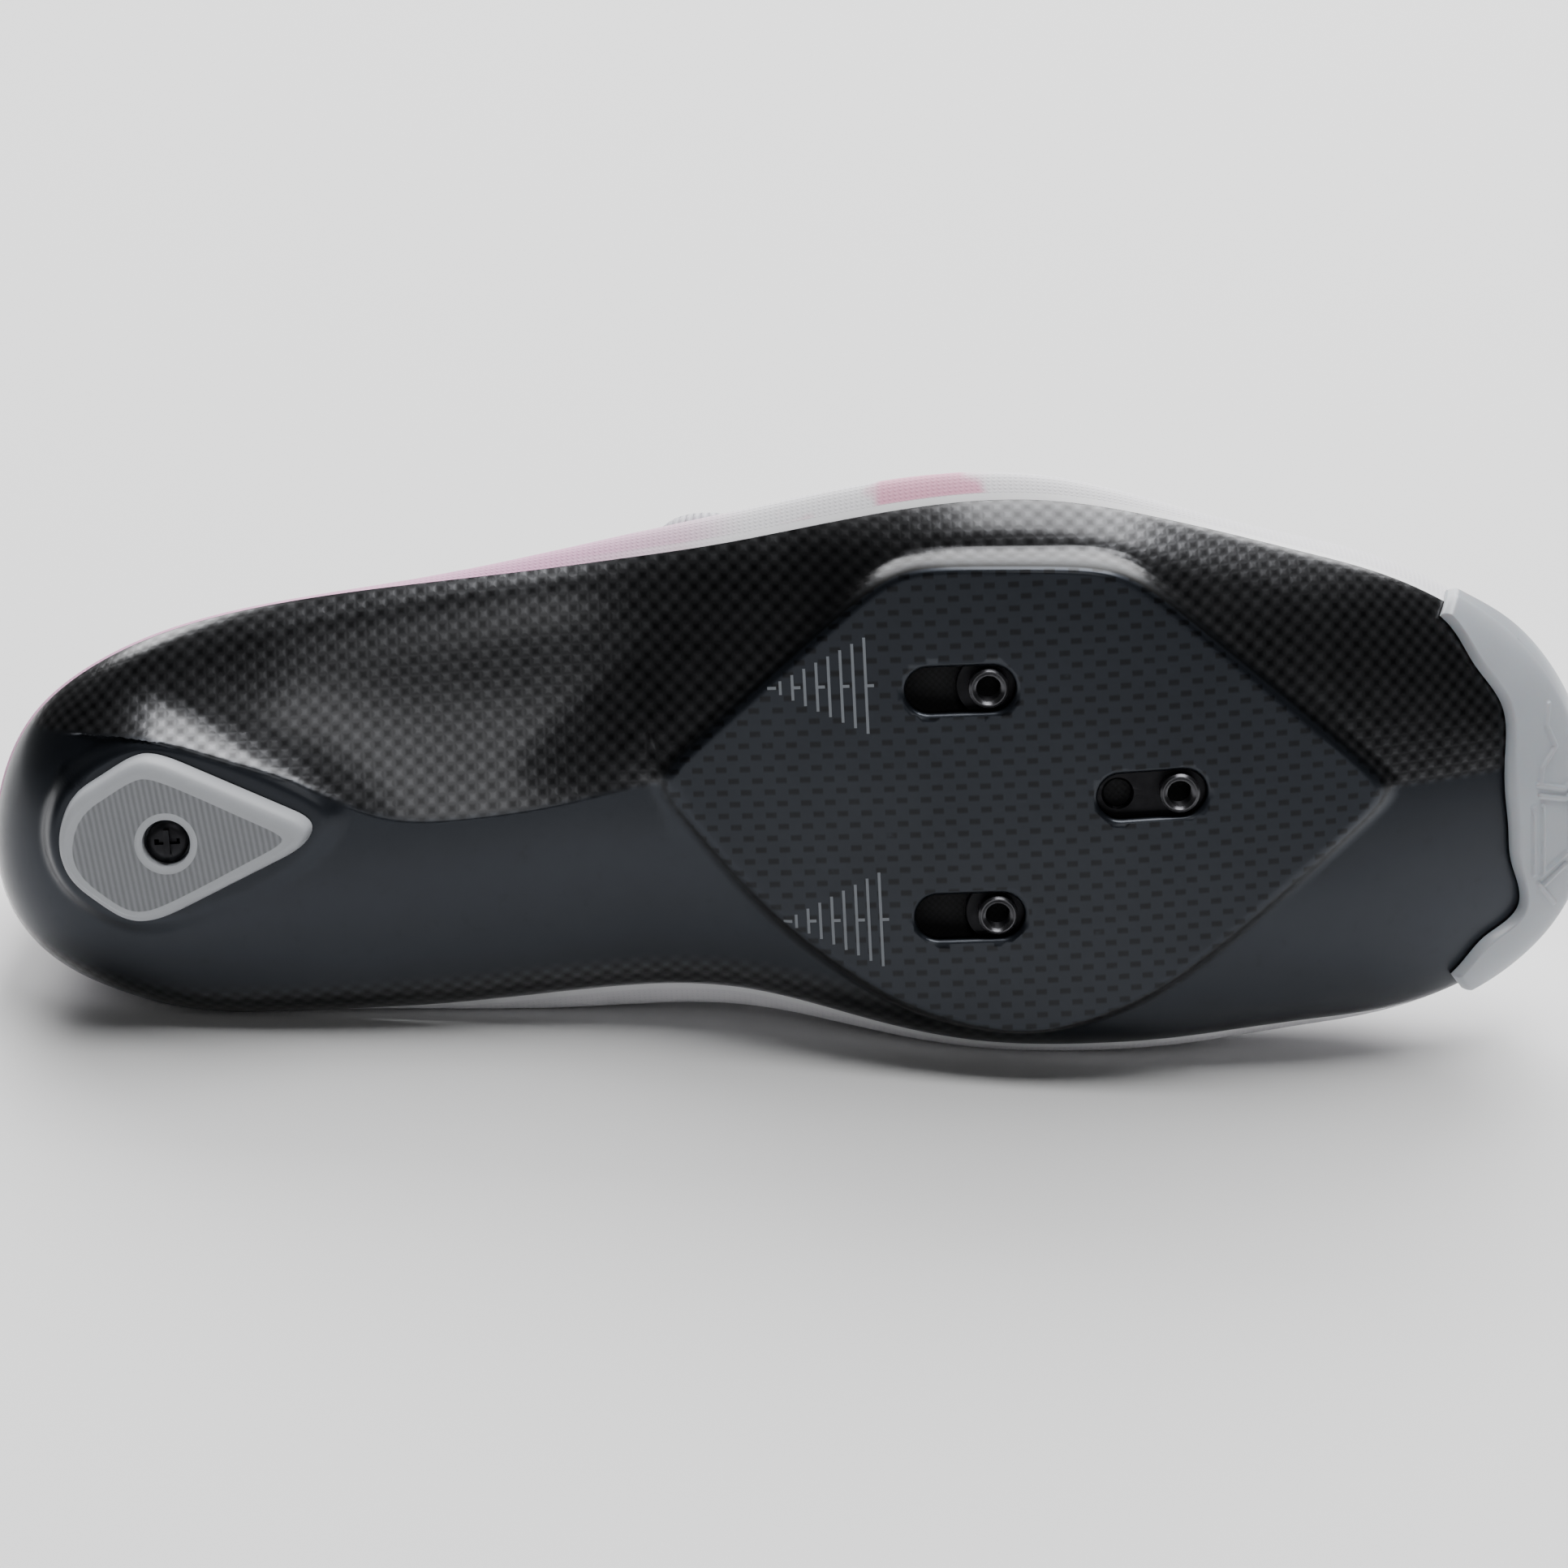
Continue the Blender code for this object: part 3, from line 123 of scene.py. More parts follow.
# %% Tables of sections
# Outline of the rim: place along the shoe, width followed, shares of it on the lateral and the medial side
OUTLINE = (
    (0.0095, HEEL_WIDTH, 0.134, 0.230), (0.0290, HEEL_WIDTH, 0.264, 0.323),
    (0.0645, HEEL_WIDTH, 0.375, 0.405), (0.1220, HEEL_WIDTH, 0.468, 0.472),
    (0.1860, HEEL_WIDTH, 0.518, 0.487), (0.2690, WAIST_WIDTH, 0.513, 0.463),
    (0.3690, WAIST_WIDTH, 0.535, 0.450), (0.4660, WAIST_WIDTH, 0.572, 0.459),
    (0.5630, BALL_WIDTH, 0.494, 0.435), (0.6240, BALL_WIDTH, 0.509, 0.467),
    (0.6740, BALL_WIDTH, 0.501, 0.477), (0.7460, BALL_WIDTH, 0.454, 0.477),
    (0.8240, TOE_WIDTH, 0.481, 0.586), (0.8750, TOE_WIDTH, 0.416, 0.579),
    (0.9180, TOE_WIDTH, 0.335, 0.547), (0.9570, TOE_WIDTH, 0.222, 0.475),
    (0.9860, TOE_WIDTH, 0.076, 0.367),
)
HEEL_BACK_Y = 0.035 * HEEL_WIDTH
TOE_TIP_Y = 0.140 * TOE_WIDTH
FOOT_LINE = ((0.12, 0.005), (0.37, -0.010), (0.60, 0.000), (0.73, 0.035), (0.84, 0.072))
# Sole: place, arch, spring, seat, lateral rim, medial rim, fullness
SOLE = (
    (0.000, 0.00, 0.00, 1.50, 1.05, 1.05, 3.2), (0.055, 0.00, 0.00, 1.15, 1.00, 1.00, 3.2),
    (0.122, 0.00, 0.00, 1.00, 0.95, 0.96, 3.2), (0.200, 0.10, 0.00, 0.90, 0.92, 0.98, 3.0),
    (0.278, 0.48, 0.00, 0.55, 0.92, 1.06, 2.6), (0.350, 0.86, 0.00, 0.20, 0.95, 1.11, 2.4),
    (0.405, 1.00, 0.00, 0.00, 0.96, 1.10, 2.4), (0.460, 0.86, 0.00, 0.00, 0.86, 1.00, 2.7),
    (0.510, 0.66, 0.00, 0.00, 0.78, 0.87, 3.2), (0.565, 0.45, 0.00, 0.00, 0.70, 0.74, 3.8),
    (0.617, 0.29, 0.00, 0.00, 0.65, 0.65, 4.0), (0.672, 0.21, 0.00, 0.00, 0.65, 0.64, 4.0),
    (0.725, 0.20, 0.02, 0.00, 0.68, 0.67, 3.8), (0.780, 0.20, 0.10, 0.00, 0.78, 0.78, 3.4),
    (0.835, 0.15, 0.24, 0.00, 0.90, 0.90, 3.0), (0.887, 0.10, 0.44, 0.00, 1.05, 1.06, 2.8),
    (0.940, 0.05, 0.68, 0.00, 1.22, 1.22, 2.8), (1.000, 0.00, 1.00, 0.00, 1.38, 1.38, 2.8),
)
RIM_LIP = 0.985
KEEL_EDGE = (
    (0.060, -0.240), (0.110, -0.228), (0.150, -0.178), (0.193, -0.122), (0.225, -0.062),
    (0.258, -0.018), (0.295, -0.008), (0.363, -0.027), (0.420, -0.060), (0.500, -0.080),
)
SCOOP_START = 0.050
SCOOP_FULL = 0.125
SCOOP_RISE = 0.62
CLIFF_LENGTH = 0.0200
PLATEAU = (
    (0.4180, -0.056), (0.5720, -0.425), (0.7110, -0.408), (0.8760, 0.030),
    (0.7220, 0.372), (0.6450, 0.436), (0.5700, 0.385), (0.4900, 0.220),
)
PLATEAU_ROUND = 0.0022
PLATEAU_FILLET = 0.0022
PAD = (
    (0.0480, -0.020), (0.0590, -0.128), (0.1020, -0.222), (0.1180, -0.214), (0.2090, -0.037),
    (0.2010, 0.025), (0.1120, 0.178), (0.0960, 0.186), (0.0820, 0.166), (0.0540, 0.075),
)
PAD_SEAT_MARGIN = 0.0022
PAD_SEAT_FILLET = 0.0030
# Upper: place, lateral bulge, medial bulge, bulge height, roundness, lean
UPPER = (
    (0.000, 0.10, 0.10, 0.06, 0.70, 0.16), (0.070, 0.06, 0.04, 0.05, 0.50, 0.42),
    (0.170, 0.04, 0.02, 0.05, 0.40, 0.52), (0.270, 0.10, 0.30, 0.10, 0.50, 0.48),
    (0.370, 0.50, 0.90, 0.20, 0.68, 0.38), (0.465, 0.86, 0.90, 0.25, 0.68, 0.28),
    (0.570, 0.96, 0.56, 0.22, 0.68, 0.20), (0.680, 0.70, 0.50, 0.22, 0.70, 0.18),
    (0.770, 0.34, 0.56, 0.28, 0.70, 0.08), (0.850, 0.30, 0.54, 0.40, 0.68, 0.00),
    (0.930, 0.36, 0.36, 0.40, 0.62, 0.00), (1.000, 0.36, 0.36, 0.38, 0.58, 0.00),
)
CREST = (
    (0.000, 1.42), (0.150, 1.42), (0.260, 1.30), (0.320, 1.13), (0.372, 1.01), (0.420, 0.93), (0.470, 0.85),
    (0.570, 0.715), (0.680, 0.620), (0.770, 0.565), (0.840, 0.535), (0.930, 0.500), (1.000, 0.460),
)
COLLAR = (
    (0.000, 1.00, 1.00), (0.045, 0.97, 0.97), (0.105, 0.85, 0.87), (0.175, 0.76, 0.80), (0.245, 0.79, 0.83),
    (0.310, 0.92, 0.95), (0.355, 1.06, 1.08), (0.385, 1.24, 1.24), (0.430, 1.80, 1.80),
)
THROAT = ((0.30, 1.08), (0.39, 1.00), (0.46, 0.92), (0.53, 0.76), (0.58, 0.50), (0.612, 0.16), (0.622, 0.00))
THROAT_END = 0.622
# Inner edge of the bumper: turn from straight ahead in degrees, share of the way from the toe's centre
# to the rim
BUMPER_EDGE = (
    (-62, 0.95), (-52, 0.93), (-40, 0.86), (-24, 0.82), (-12, 0.745), (0, 0.705),
    (12, 0.715), (22, 0.760), (31, 0.860), (42, 0.845), (52, 0.89), (62, 0.95),
)
BUMPER_ARM_TURN = 55.0
GUIDES = ((0.470, 1), (0.506, -1), (0.530, 1), (0.558, -1), (0.582, 1))
print("rows of the outline", len(OUTLINE), "of the sole", len(SOLE), "of the upper", len(UPPER))

# %% [markdown]
# ## Lying pose
# The shoe lies on its medial side. The turn could be put on each object, but the export bakes every object at
# the origin, so the points themselves are turned once, by one matrix.

# %% Lying pose
# The lying pose: which way is down in the shoe's frame, and where the shoe's frame stands in the world
DOWN = np.array([-0.09584693, 0.98469890, 0.14554000])
AHEAD = np.array([1.0, 0.0, 0.0]) - DOWN * DOWN[0]
AHEAD = AHEAD / np.linalg.norm(AHEAD)
TURN = np.array([AHEAD, np.cross(-DOWN, AHEAD), -DOWN])
SHIFT = np.array([-0.141988, -0.049432, 0.033757])

print("down in the shoe's frame", DOWN)

# %% [markdown]
# ## Splines along the shoe
# Every column of a table becomes a smooth curve along the shoe. A natural cubic spline bends evenly through the
# rows, as a batten does through its pins, and needs far fewer rows than straight pieces would.


# %% Splines along the shoe
def column(table, index):
    """One column of a table as an array."""
    return np.array([row[index] for row in table], dtype=float)


def spline(at, knots, values):
    """Natural cubic spline through the table's points, level outside them."""
    at = np.clip(at, knots[0], knots[-1])
    step = np.diff(knots)
    slope = np.diff(values) / step
    count = len(knots)
    system = np.eye(count)
    right = np.zeros(count)
    for i in range(1, count - 1):
        system[i, i - 1 : i + 2] = (step[i - 1], 2 * (step[i - 1] + step[i]), step[i])
        right[i] = 6 * (slope[i] - slope[i - 1])
    bend = np.linalg.solve(system, right)
    i = np.clip(np.searchsorted(knots, at, side="right") - 1, 0, count - 2)
    near = at - knots[i]
    far = knots[i + 1] - at
    return (
        (bend[i] * far**3 + bend[i + 1] * near**3) / (6 * step[i])
        + (values[i] / step[i] - bend[i] * step[i] / 6) * far
        + (values[i + 1] / step[i] - bend[i + 1] * step[i] / 6) * near
    )


def along(table, index, x):
    """A column of a table at the places x, by the spline."""
    return spline(np.asarray(x) / SHOE_LENGTH, column(table, 0), column(table, index))


def smooth(low, high, value):
    """0 below the low edge, 1 above the high one: 3t^2 - 2t^3."""
    share = np.clip((value - low) / (high - low), 0.0, 1.0)
    return share * share * (3 - 2 * share)


def foot_y(x):
    """The foot line, from which every section starts."""
    return along(FOOT_LINE, 1, x) * BALL_WIDTH


print("foot line at both centres", foot_y(np.array([HEEL_CENTRE, TOE_CENTRE])))

# %% [markdown]
# ## Rim and stations
# A section runs from the foot line to the rim: slices across the shoe in the middle, and fans round the heel's
# and the toe's centres, because slices alone would meet the ends edge on and crowd there.


# %% Rim and stations
def rim_loop():
    """Closed spline through the outline's rows: heel, lateral side, toe, medial side."""
    lateral = [(row[0] * SHOE_LENGTH, -row[2] * row[1]) for row in OUTLINE]
    medial = [(row[0] * SHOE_LENGTH, row[3] * row[1]) for row in OUTLINE]
    loop = [(0.0, HEEL_BACK_Y), *lateral, (SHOE_LENGTH, TOE_TIP_Y), *reversed(medial)]
    points = np.array(loop * 3 + [loop[0]])
    reach = np.concatenate([[0.0], np.cumsum(np.hypot(*np.diff(points, axis=0).T))])
    one = reach[len(loop)]
    fine = np.linspace(one, 2 * one, 6001)
    return spline(fine, reach, points[:, 0]), spline(fine, reach, points[:, 1])


def station_of(x, y):
    """x in the middle of the shoe, arc length round the centres of heel and toe."""
    heel_turn = np.arctan2(HEEL_CENTRE - x, np.abs(y - foot_y(HEEL_CENTRE)))
    toe_turn = np.arctan2(x - TOE_CENTRE, np.abs(y - foot_y(TOE_CENTRE)))
    heel_arc = HEEL_CENTRE - heel_turn * HEEL_WIDTH / 2
    toe_arc = TOE_CENTRE + toe_turn * TOE_WIDTH / 2
    return np.where(x < HEEL_CENTRE, heel_arc, np.where(x > TOE_CENTRE, toe_arc, x))


RIM_X, RIM_Y = rim_loop()
RIM_STATION = station_of(RIM_X, RIM_Y)
FIRST_STATION = HEEL_CENTRE - math.pi / 4 * HEEL_WIDTH
LAST_STATION = TOE_CENTRE + math.pi / 4 * TOE_WIDTH


def rim_point(station, side):
    """The rim at a station on one side, read off the closed spline."""
    centre = foot_y(np.clip(RIM_X, HEEL_CENTRE, TOE_CENTRE))
    here = np.sign(RIM_Y - centre) == side
    order = np.argsort(RIM_STATION[here])
    scale = RIM_STATION[here][order]
    return np.interp(station, scale, RIM_X[here][order]), np.interp(station, scale, RIM_Y[here][order])


def loop_stations(slices):
    """Stations up the lateral side (-1) and back down the medial side (1)."""
    one_way = np.linspace(FIRST_STATION, LAST_STATION, slices + 1)
    stations = np.concatenate([one_way, one_way[-2:0:-1]])
    return stations, np.concatenate([-np.ones(slices + 1), np.ones(slices - 1)])


class Slices:
    """The rim and the foot line at every station of a loop."""

    def __init__(self, stations, sides):
        self.side = sides
        lateral = rim_point(stations, -1)
        medial = rim_point(stations, 1)
        self.rim_x = np.where(sides < 0, lateral[0], medial[0])
        self.rim_y = np.where(sides < 0, lateral[1], medial[1])
        self.foot_x = np.clip(stations, HEEL_CENTRE, TOE_CENTRE)
        self.foot_y = foot_y(self.foot_x)
        self.reach = np.hypot(self.rim_x - self.foot_x, self.rim_y - self.foot_y)
        self.out_x = (self.rim_x - self.foot_x) / self.reach
        self.out_y = (self.rim_y - self.foot_y) / self.reach
        rim = np.where(sides < 0, along(SOLE, 4, self.rim_x), along(SOLE, 5, self.rim_x))
        self.rim_z = rim * RIM_HEIGHT

    def place(self, distance):
        """The foot line's point plus the distance times the direction to the rim."""
        return self.foot_x + distance * self.out_x, self.foot_y + distance * self.out_y


print("stations from", FIRST_STATION, "to", LAST_STATION)

# %% [markdown]
# ## Sole's height
# The moulded shell has a rounded section, a hollow beside its keel, a seat for the pad and a raised plateau for
# the cleat. Each is a height at a place and a share of the way to the rim, and soft steps blend one into the next.
# They could be separate meshes joined by booleans, but one function keeps the surface whole.


# %% Sole's height
def polygon(table, width):
    """Corners of an outline whose rows are shares of the length and of a width."""
    return np.stack([column(table, 0) * SHOE_LENGTH, column(table, 1) * width], axis=1)


def outside(corners, x, y, rounding):
    """Soft maximum of the distances to the sides of a convex polygon: ln(sum(exp(d / r))) * r."""
    total = np.zeros(np.shape(x))
    turn = np.roll(corners, -1, axis=0) - corners
    swing = turn[0, 0] * turn[1, 1] - turn[0, 1] * turn[1, 0]
    for (cx, cy), (tx, ty) in zip(corners, turn):
        size = math.copysign(math.hypot(tx, ty), swing)
        away = ((x - cx) * ty - (y - cy) * tx) / size
        total = total + np.exp(np.clip(away / rounding, -60, 60))
    return np.log(total) * rounding


def bottom_line(x):
    """Height of the sole's bottom: shares of arch, toe spring and heel seat added up."""
    return along(SOLE, 1, x) * ARCH_RISE + along(SOLE, 2, x) * TOE_SPRING + along(SOLE, 3, x) * HEEL_SEAT


def plateau_z(x):
    """The plateau stands one step below the bottom."""
    return bottom_line(x) - PLATEAU_STEP


LATERAL_RIM = rim_point(np.linspace(FIRST_STATION, LAST_STATION, 400), -1)
MEDIAL_RIM = rim_point(np.linspace(FIRST_STATION, LAST_STATION, 400), 1)


def sole_height(x, y, share, rim_z, with_plateau):
    """A rounded section, 1 - sqrt(1 - share^n), then the scoop, the pad's seat and the plateau blended in."""
    bottom = bottom_line(x)
    full = along(SOLE, 6, x)
    top = np.sqrt(1 - RIM_LIP**full)
    turn_up = (1 - np.sqrt(1 - (RIM_LIP * share) ** full)) / (1 - top)
    plain = bottom + (rim_z - bottom) * turn_up
    to_plateau = outside(polygon(PLATEAU, BALL_WIDTH), x, y, PLATEAU_ROUND)
    edge = along(KEEL_EDGE, 1, x) * WAIST_WIDTH
    lateral_rim = np.interp(x, *LATERAL_RIM)
    past = np.clip((edge - y) / (edge - lateral_rim), 0.0, 1.0)
    hollow = SCOOP_RISE * (1 - (1 - past) ** 2.2) + (1 - SCOOP_RISE) * past**9
    scoop = bottom + (rim_z - bottom) * hollow
    weight = smooth(SCOOP_START, SCOOP_FULL, x / SHOE_LENGTH) * smooth(0.0, CLIFF_LENGTH, to_plateau)
    weight = weight * (1 - smooth(0.50, 0.60, x / SHOE_LENGTH)) * (y < edge)
    height = plain + (scoop - plain) * weight
    to_pad = outside(polygon(PAD, HEEL_WIDTH), x, y, PLATEAU_ROUND)
    seat = 1 - smooth(PAD_SEAT_MARGIN, PAD_SEAT_MARGIN + PAD_SEAT_FILLET, to_pad)
    height = height + (HEEL_SEAT - height) * seat
    if with_plateau:
        inside = 1 - smooth(-PLATEAU_FILLET / 2, PLATEAU_FILLET, to_plateau)
        height = height + (plateau_z(x) - height) * inside
    return height


def read_off(knots, values, at):
    """Linear interpolation down the columns: knots and values (k, n), knots rising, at (m, n)."""
    place = np.zeros(at.shape, dtype=int)
    for row in knots[1:-1]:
        place += at >= row
    column_index = np.broadcast_to(np.arange(at.shape[1]), at.shape)
    low = knots[place, column_index]
    high = knots[place + 1, column_index]
    share = np.clip((at - low) / np.maximum(high - low, 1e-12), 0.0, 1.0)
    return values[place, column_index] * (1 - share) + values[place + 1, column_index] * share


def fine_shares(cut, rings):
    """Rings from the foot line to the rim, crowded where the plateau's step and the rim's turn are."""
    share = np.linspace(0.0, 1.0, 241)[:, None] * np.ones(len(cut.reach))
    x, y = cut.place(share * cut.reach)
    near = np.abs(outside(polygon(PLATEAU, BALL_WIDTH), x, y, PLATEAU_ROUND) - 0.0006)
    keel = np.abs(y - along(KEEL_EDGE, 1, x) * WAIST_WIDTH)
    weight = 1 + 4 * np.exp(-((near / 0.0016) ** 2)) + 2 * np.exp(-((keel / 0.002) ** 2)) + 3 * share**10
    total = np.cumsum(weight, axis=0)
    total = (total - total[0]) / (total[-1] - total[0])
    want = np.linspace(0.0, 1.0, rings)[:, None] * np.ones(len(cut.reach))
    return read_off(total, share, want)


def sole_points(cut, share):
    """The sole's outside at shares of the way to the rim."""
    x, y = cut.place(share * cut.reach)
    return np.stack([x, y, sole_height(x, y, share, cut.rim_z, True)], axis=-1)


def bed_points(cut, share):
    """The sole's inside: the bottom plus the shell's wall, turned up to the rim."""
    x, y = cut.place(share * (cut.reach - RIM_WALL))
    floor = sole_height(x, y, share * 0.0, cut.rim_z, False) + SHELL_WALL
    full = along(SOLE, 6, x)
    turn_up = 1 - np.sqrt(1 - np.minimum(share, 1.0) ** full)
    return np.stack([x, y, floor + (cut.rim_z - floor) * turn_up], axis=-1)


print("plateau at the rear bolts", float(plateau_z(BOLT_REAR_X)))

# %% [markdown]
# ## Upper's sections
# The upper follows the last from the rim over a bulge to the crest. Its section is a power of a cosine for the
# distance and a sine for the height, and the collar and the throat only say where each section is cut off.


# %% Upper's sections
LOW_ROWS = 19


def upper_sections(cut, count=161):
    """Sections of the last's side from the rim to the crest, as distances and heights."""
    bulge = np.where(cut.side < 0, along(UPPER, 1, cut.rim_x), along(UPPER, 2, cut.rim_x)) * UPPER_BULGE
    rise = along(UPPER, 3, cut.rim_x) * RIM_HEIGHT
    round_off = along(UPPER, 4, cut.rim_x)
    lean = along(UPPER, 5, cut.rim_x)
    low = np.linspace(0.0, 1.0, LOW_ROWS + 1)[:-1, None]
    low_distance = cut.reach + bulge * np.sin(low * math.pi / 2)
    low_height = cut.rim_z + rise * low
    turn = np.linspace(0.0, math.pi / 2, count)[:, None]
    distance = (cut.reach + bulge) * np.cos(turn) ** round_off * (1 - lean * np.sin(turn))
    x = cut.foot_x + distance * cut.out_x
    start = cut.rim_z + rise
    height = start + (along(CREST, 1, x) * INSTEP_HEIGHT - start) * np.sin(turn)
    return np.concatenate([low_distance, distance]), np.concatenate([low_height, height]) + GAP


def section_lengths(distance, height):
    """Length walked up each section, the sum of its steps."""
    step = np.hypot(np.diff(distance, axis=0), np.diff(height, axis=0))
    return np.concatenate([np.zeros((1, distance.shape[1])), np.cumsum(step, axis=0)])


def edge_lengths(cut, distance, height, length):
    """Where the collar or the throat cuts each section off."""
    collar = np.where(cut.side < 0, along(COLLAR, 1, cut.rim_x), along(COLLAR, 2, cut.rim_x)) * COLLAR_HEIGHT
    gap = np.maximum(along(THROAT, 1, cut.rim_x), 0.0) * THROAT_WIDTH / 2
    gap = np.where(cut.foot_x < THROAT_END * SHOE_LENGTH, gap, 0.0)
    last = length[-1]
    by_collar = read_off(height, length, collar[None])[0]
    by_collar = np.where(collar >= height[-1], last * 1.5, by_collar)
    by_throat = read_off(-distance[LOW_ROWS:], length[LOW_ROWS:], -gap[None])[0]
    both = np.minimum((by_collar**-12 + by_throat**-12) ** (-1 / 12), last)
    return np.where(gap == 0.0, last, both)


def walk(cut, distance, height, length, at):
    """Points of the sections at the lengths asked for."""
    x, y = cut.place(read_off(length, distance, at))
    return np.stack([x, y, read_off(length, height, at)], axis=-1)


def normals_of(points, wrap):
    """Unit normals of a grid of points, from central differences."""
    if wrap:
        across = np.roll(points, -1, axis=1) - np.roll(points, 1, axis=1)
    else:
        across = np.gradient(points, axis=1)
    normal = np.cross(across, np.gradient(points, axis=0))
    return normal / np.maximum(np.linalg.norm(normal, axis=-1, keepdims=True), 1e-12)


def laid(points):
    """From the shoe's frame to the world: one rotation and one shift."""
    return np.asarray(points) @ TURN.T + SHIFT


print("lowest rows of a section", LOW_ROWS)

# %% [markdown]
# ## Meshes
# A surface is a grid of points, and its faces join neighbours. Grids that share an edge are welded, so that a
# piece is one closed shell. Turned parts come from a profile, and slots are cut out with a boolean, because a hole
# through a curved shell is hard to grid.


# %% Functions of the meshes
WELD = 2e-6


def grid_faces(rows, count, wrap, start=0):
    """Four-sided faces between neighbours of a grid, closed round when it wraps."""
    index = start + np.arange(rows * count).reshape(rows, count)
    if wrap:
        index = np.concatenate([index, index[:, :1]], axis=1)
    quads = np.stack([index[:-1, :-1], index[:-1, 1:], index[1:, 1:], index[1:, :-1]], axis=-1)
    return quads.reshape(-1, 4)


def make(name, grids, finish, coords=None, smooth_angle=40):
    """A mesh object from grids of points, each (points, wrap). coords gives a UV pair for every point."""
    points = np.concatenate([g.reshape(-1, 3) for g, _ in grids])
    faces = []
    start = 0
    for g, wrap in grids:
        faces.append(grid_faces(g.shape[0], g.shape[1], wrap, start))
        start += g.shape[0] * g.shape[1]
    mesh = bpy.data.meshes.new(name)
    mesh.from_pydata(laid(points).tolist(), [], np.concatenate(faces).tolist())
    if coords is not None:
        index = np.empty(len(mesh.loops), dtype=np.int32)
        mesh.loops.foreach_get("vertex_index", index)
        uv = np.asarray(coords, dtype=np.float32).reshape(-1, 2)[index]
        mesh.uv_layers.new(name="shoe").data.foreach_set("uv", uv.ravel())
    work = bmesh.new()
    work.from_mesh(mesh)
    bmesh.ops.remove_doubles(work, verts=work.verts, dist=WELD)
    bmesh.ops.dissolve_degenerate(work, edges=work.edges, dist=WELD)
    bmesh.ops.recalc_face_normals(work, faces=work.faces)
    if work.calc_volume(signed=True) < 0:
        bmesh.ops.reverse_faces(work, faces=work.faces)
    work.to_mesh(mesh)
    work.free()
    made = bpy.data.objects.new(name, mesh)
    bpy.context.scene.collection.objects.link(made)
    if finish is not None:
        mesh.materials.append(finish)
    mesh.shade_smooth()
    mesh.set_sharp_from_angle(angle=math.radians(smooth_angle))
    return made


def own(obj, body, slot, *nodes):
    """Bind a piece to its body, and hide the solids that it stands for. The slot argument is not used."""
    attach(obj, body)
    if nodes:
        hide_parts(*nodes)
    print(obj.name, "faces", len(obj.data.polygons))
    return obj


def cut_out(obj, cutter):
    """Subtract one mesh from another and keep the result as a plain mesh."""
    change = obj.modifiers.new("cut", "BOOLEAN")
    change.operation = "DIFFERENCE"
    change.object = cutter
    change.solver = "EXACT"
    graph = bpy.context.evaluated_depsgraph_get()
    mesh = bpy.data.meshes.new_from_object(obj.evaluated_get(graph))
    obj.modifiers.clear()
    old = obj.data
    obj.data = mesh
    bpy.data.meshes.remove(old)
    tool = cutter.data
    bpy.data.objects.remove(cutter)
    bpy.data.meshes.remove(tool)


def lathe(profile, segments, origin=(0, 0, 0), axes=np.eye(3), ripple=None):
    """Points of a turned form: profile rows are (radius, height). ripple(turn, row) adds to the radius."""
    turn = np.linspace(0, 2 * math.pi, segments, endpoint=False)[None]
    profile = np.asarray(profile, dtype=float)
    radius = profile[:, :1] + (0 if ripple is None else ripple(turn, np.arange(len(profile))[:, None]))
    flat = np.stack([radius * np.cos(turn), radius * np.sin(turn), profile[:, 1:] + 0 * turn], axis=-1)
    return flat @ np.asarray(axes) + np.asarray(origin)


def stadium(x_rear, x_front, y, radius, steps=24):
    """A slot's outline: two half circles joined by straight sides."""
    turn = np.linspace(-math.pi / 2, math.pi / 2, steps + 1)
    front = np.c_[x_front - radius + radius * np.cos(turn), y + radius * np.sin(turn)]
    rear = np.c_[x_rear + radius - radius * np.cos(turn), y - radius * np.sin(turn)]
    return np.concatenate([front, rear])


def joined(points):
    """The first column repeated after the last, so that a map can run on to the seam."""
    return np.concatenate([points, points[:, :1]], axis=1)


def stack(outlines, heights):
    """Rings of points from outlines (n, 2) and heights: numbers, or arrays of n."""
    return np.stack([np.c_[o, np.broadcast_to(z, len(o))] for o, z in zip(outlines, heights)])


def closed(points):
    """A stack of rings closed at both ends by rings drawn together to their middles."""
    first = points[:1].mean(axis=1, keepdims=True) + 0 * points[:1]
    last = points[-1:].mean(axis=1, keepdims=True) + 0 * points[-1:]
    return np.concatenate([first, points, last])


print("weld distance", WELD)

# %% [markdown]
# ## Node wrapper
# A pattern is a sum of masks. Built by hand it would be hundreds of nodes, so a small class wraps a socket and
# lets sockets be added and multiplied like numbers, each expression adding its Math nodes.


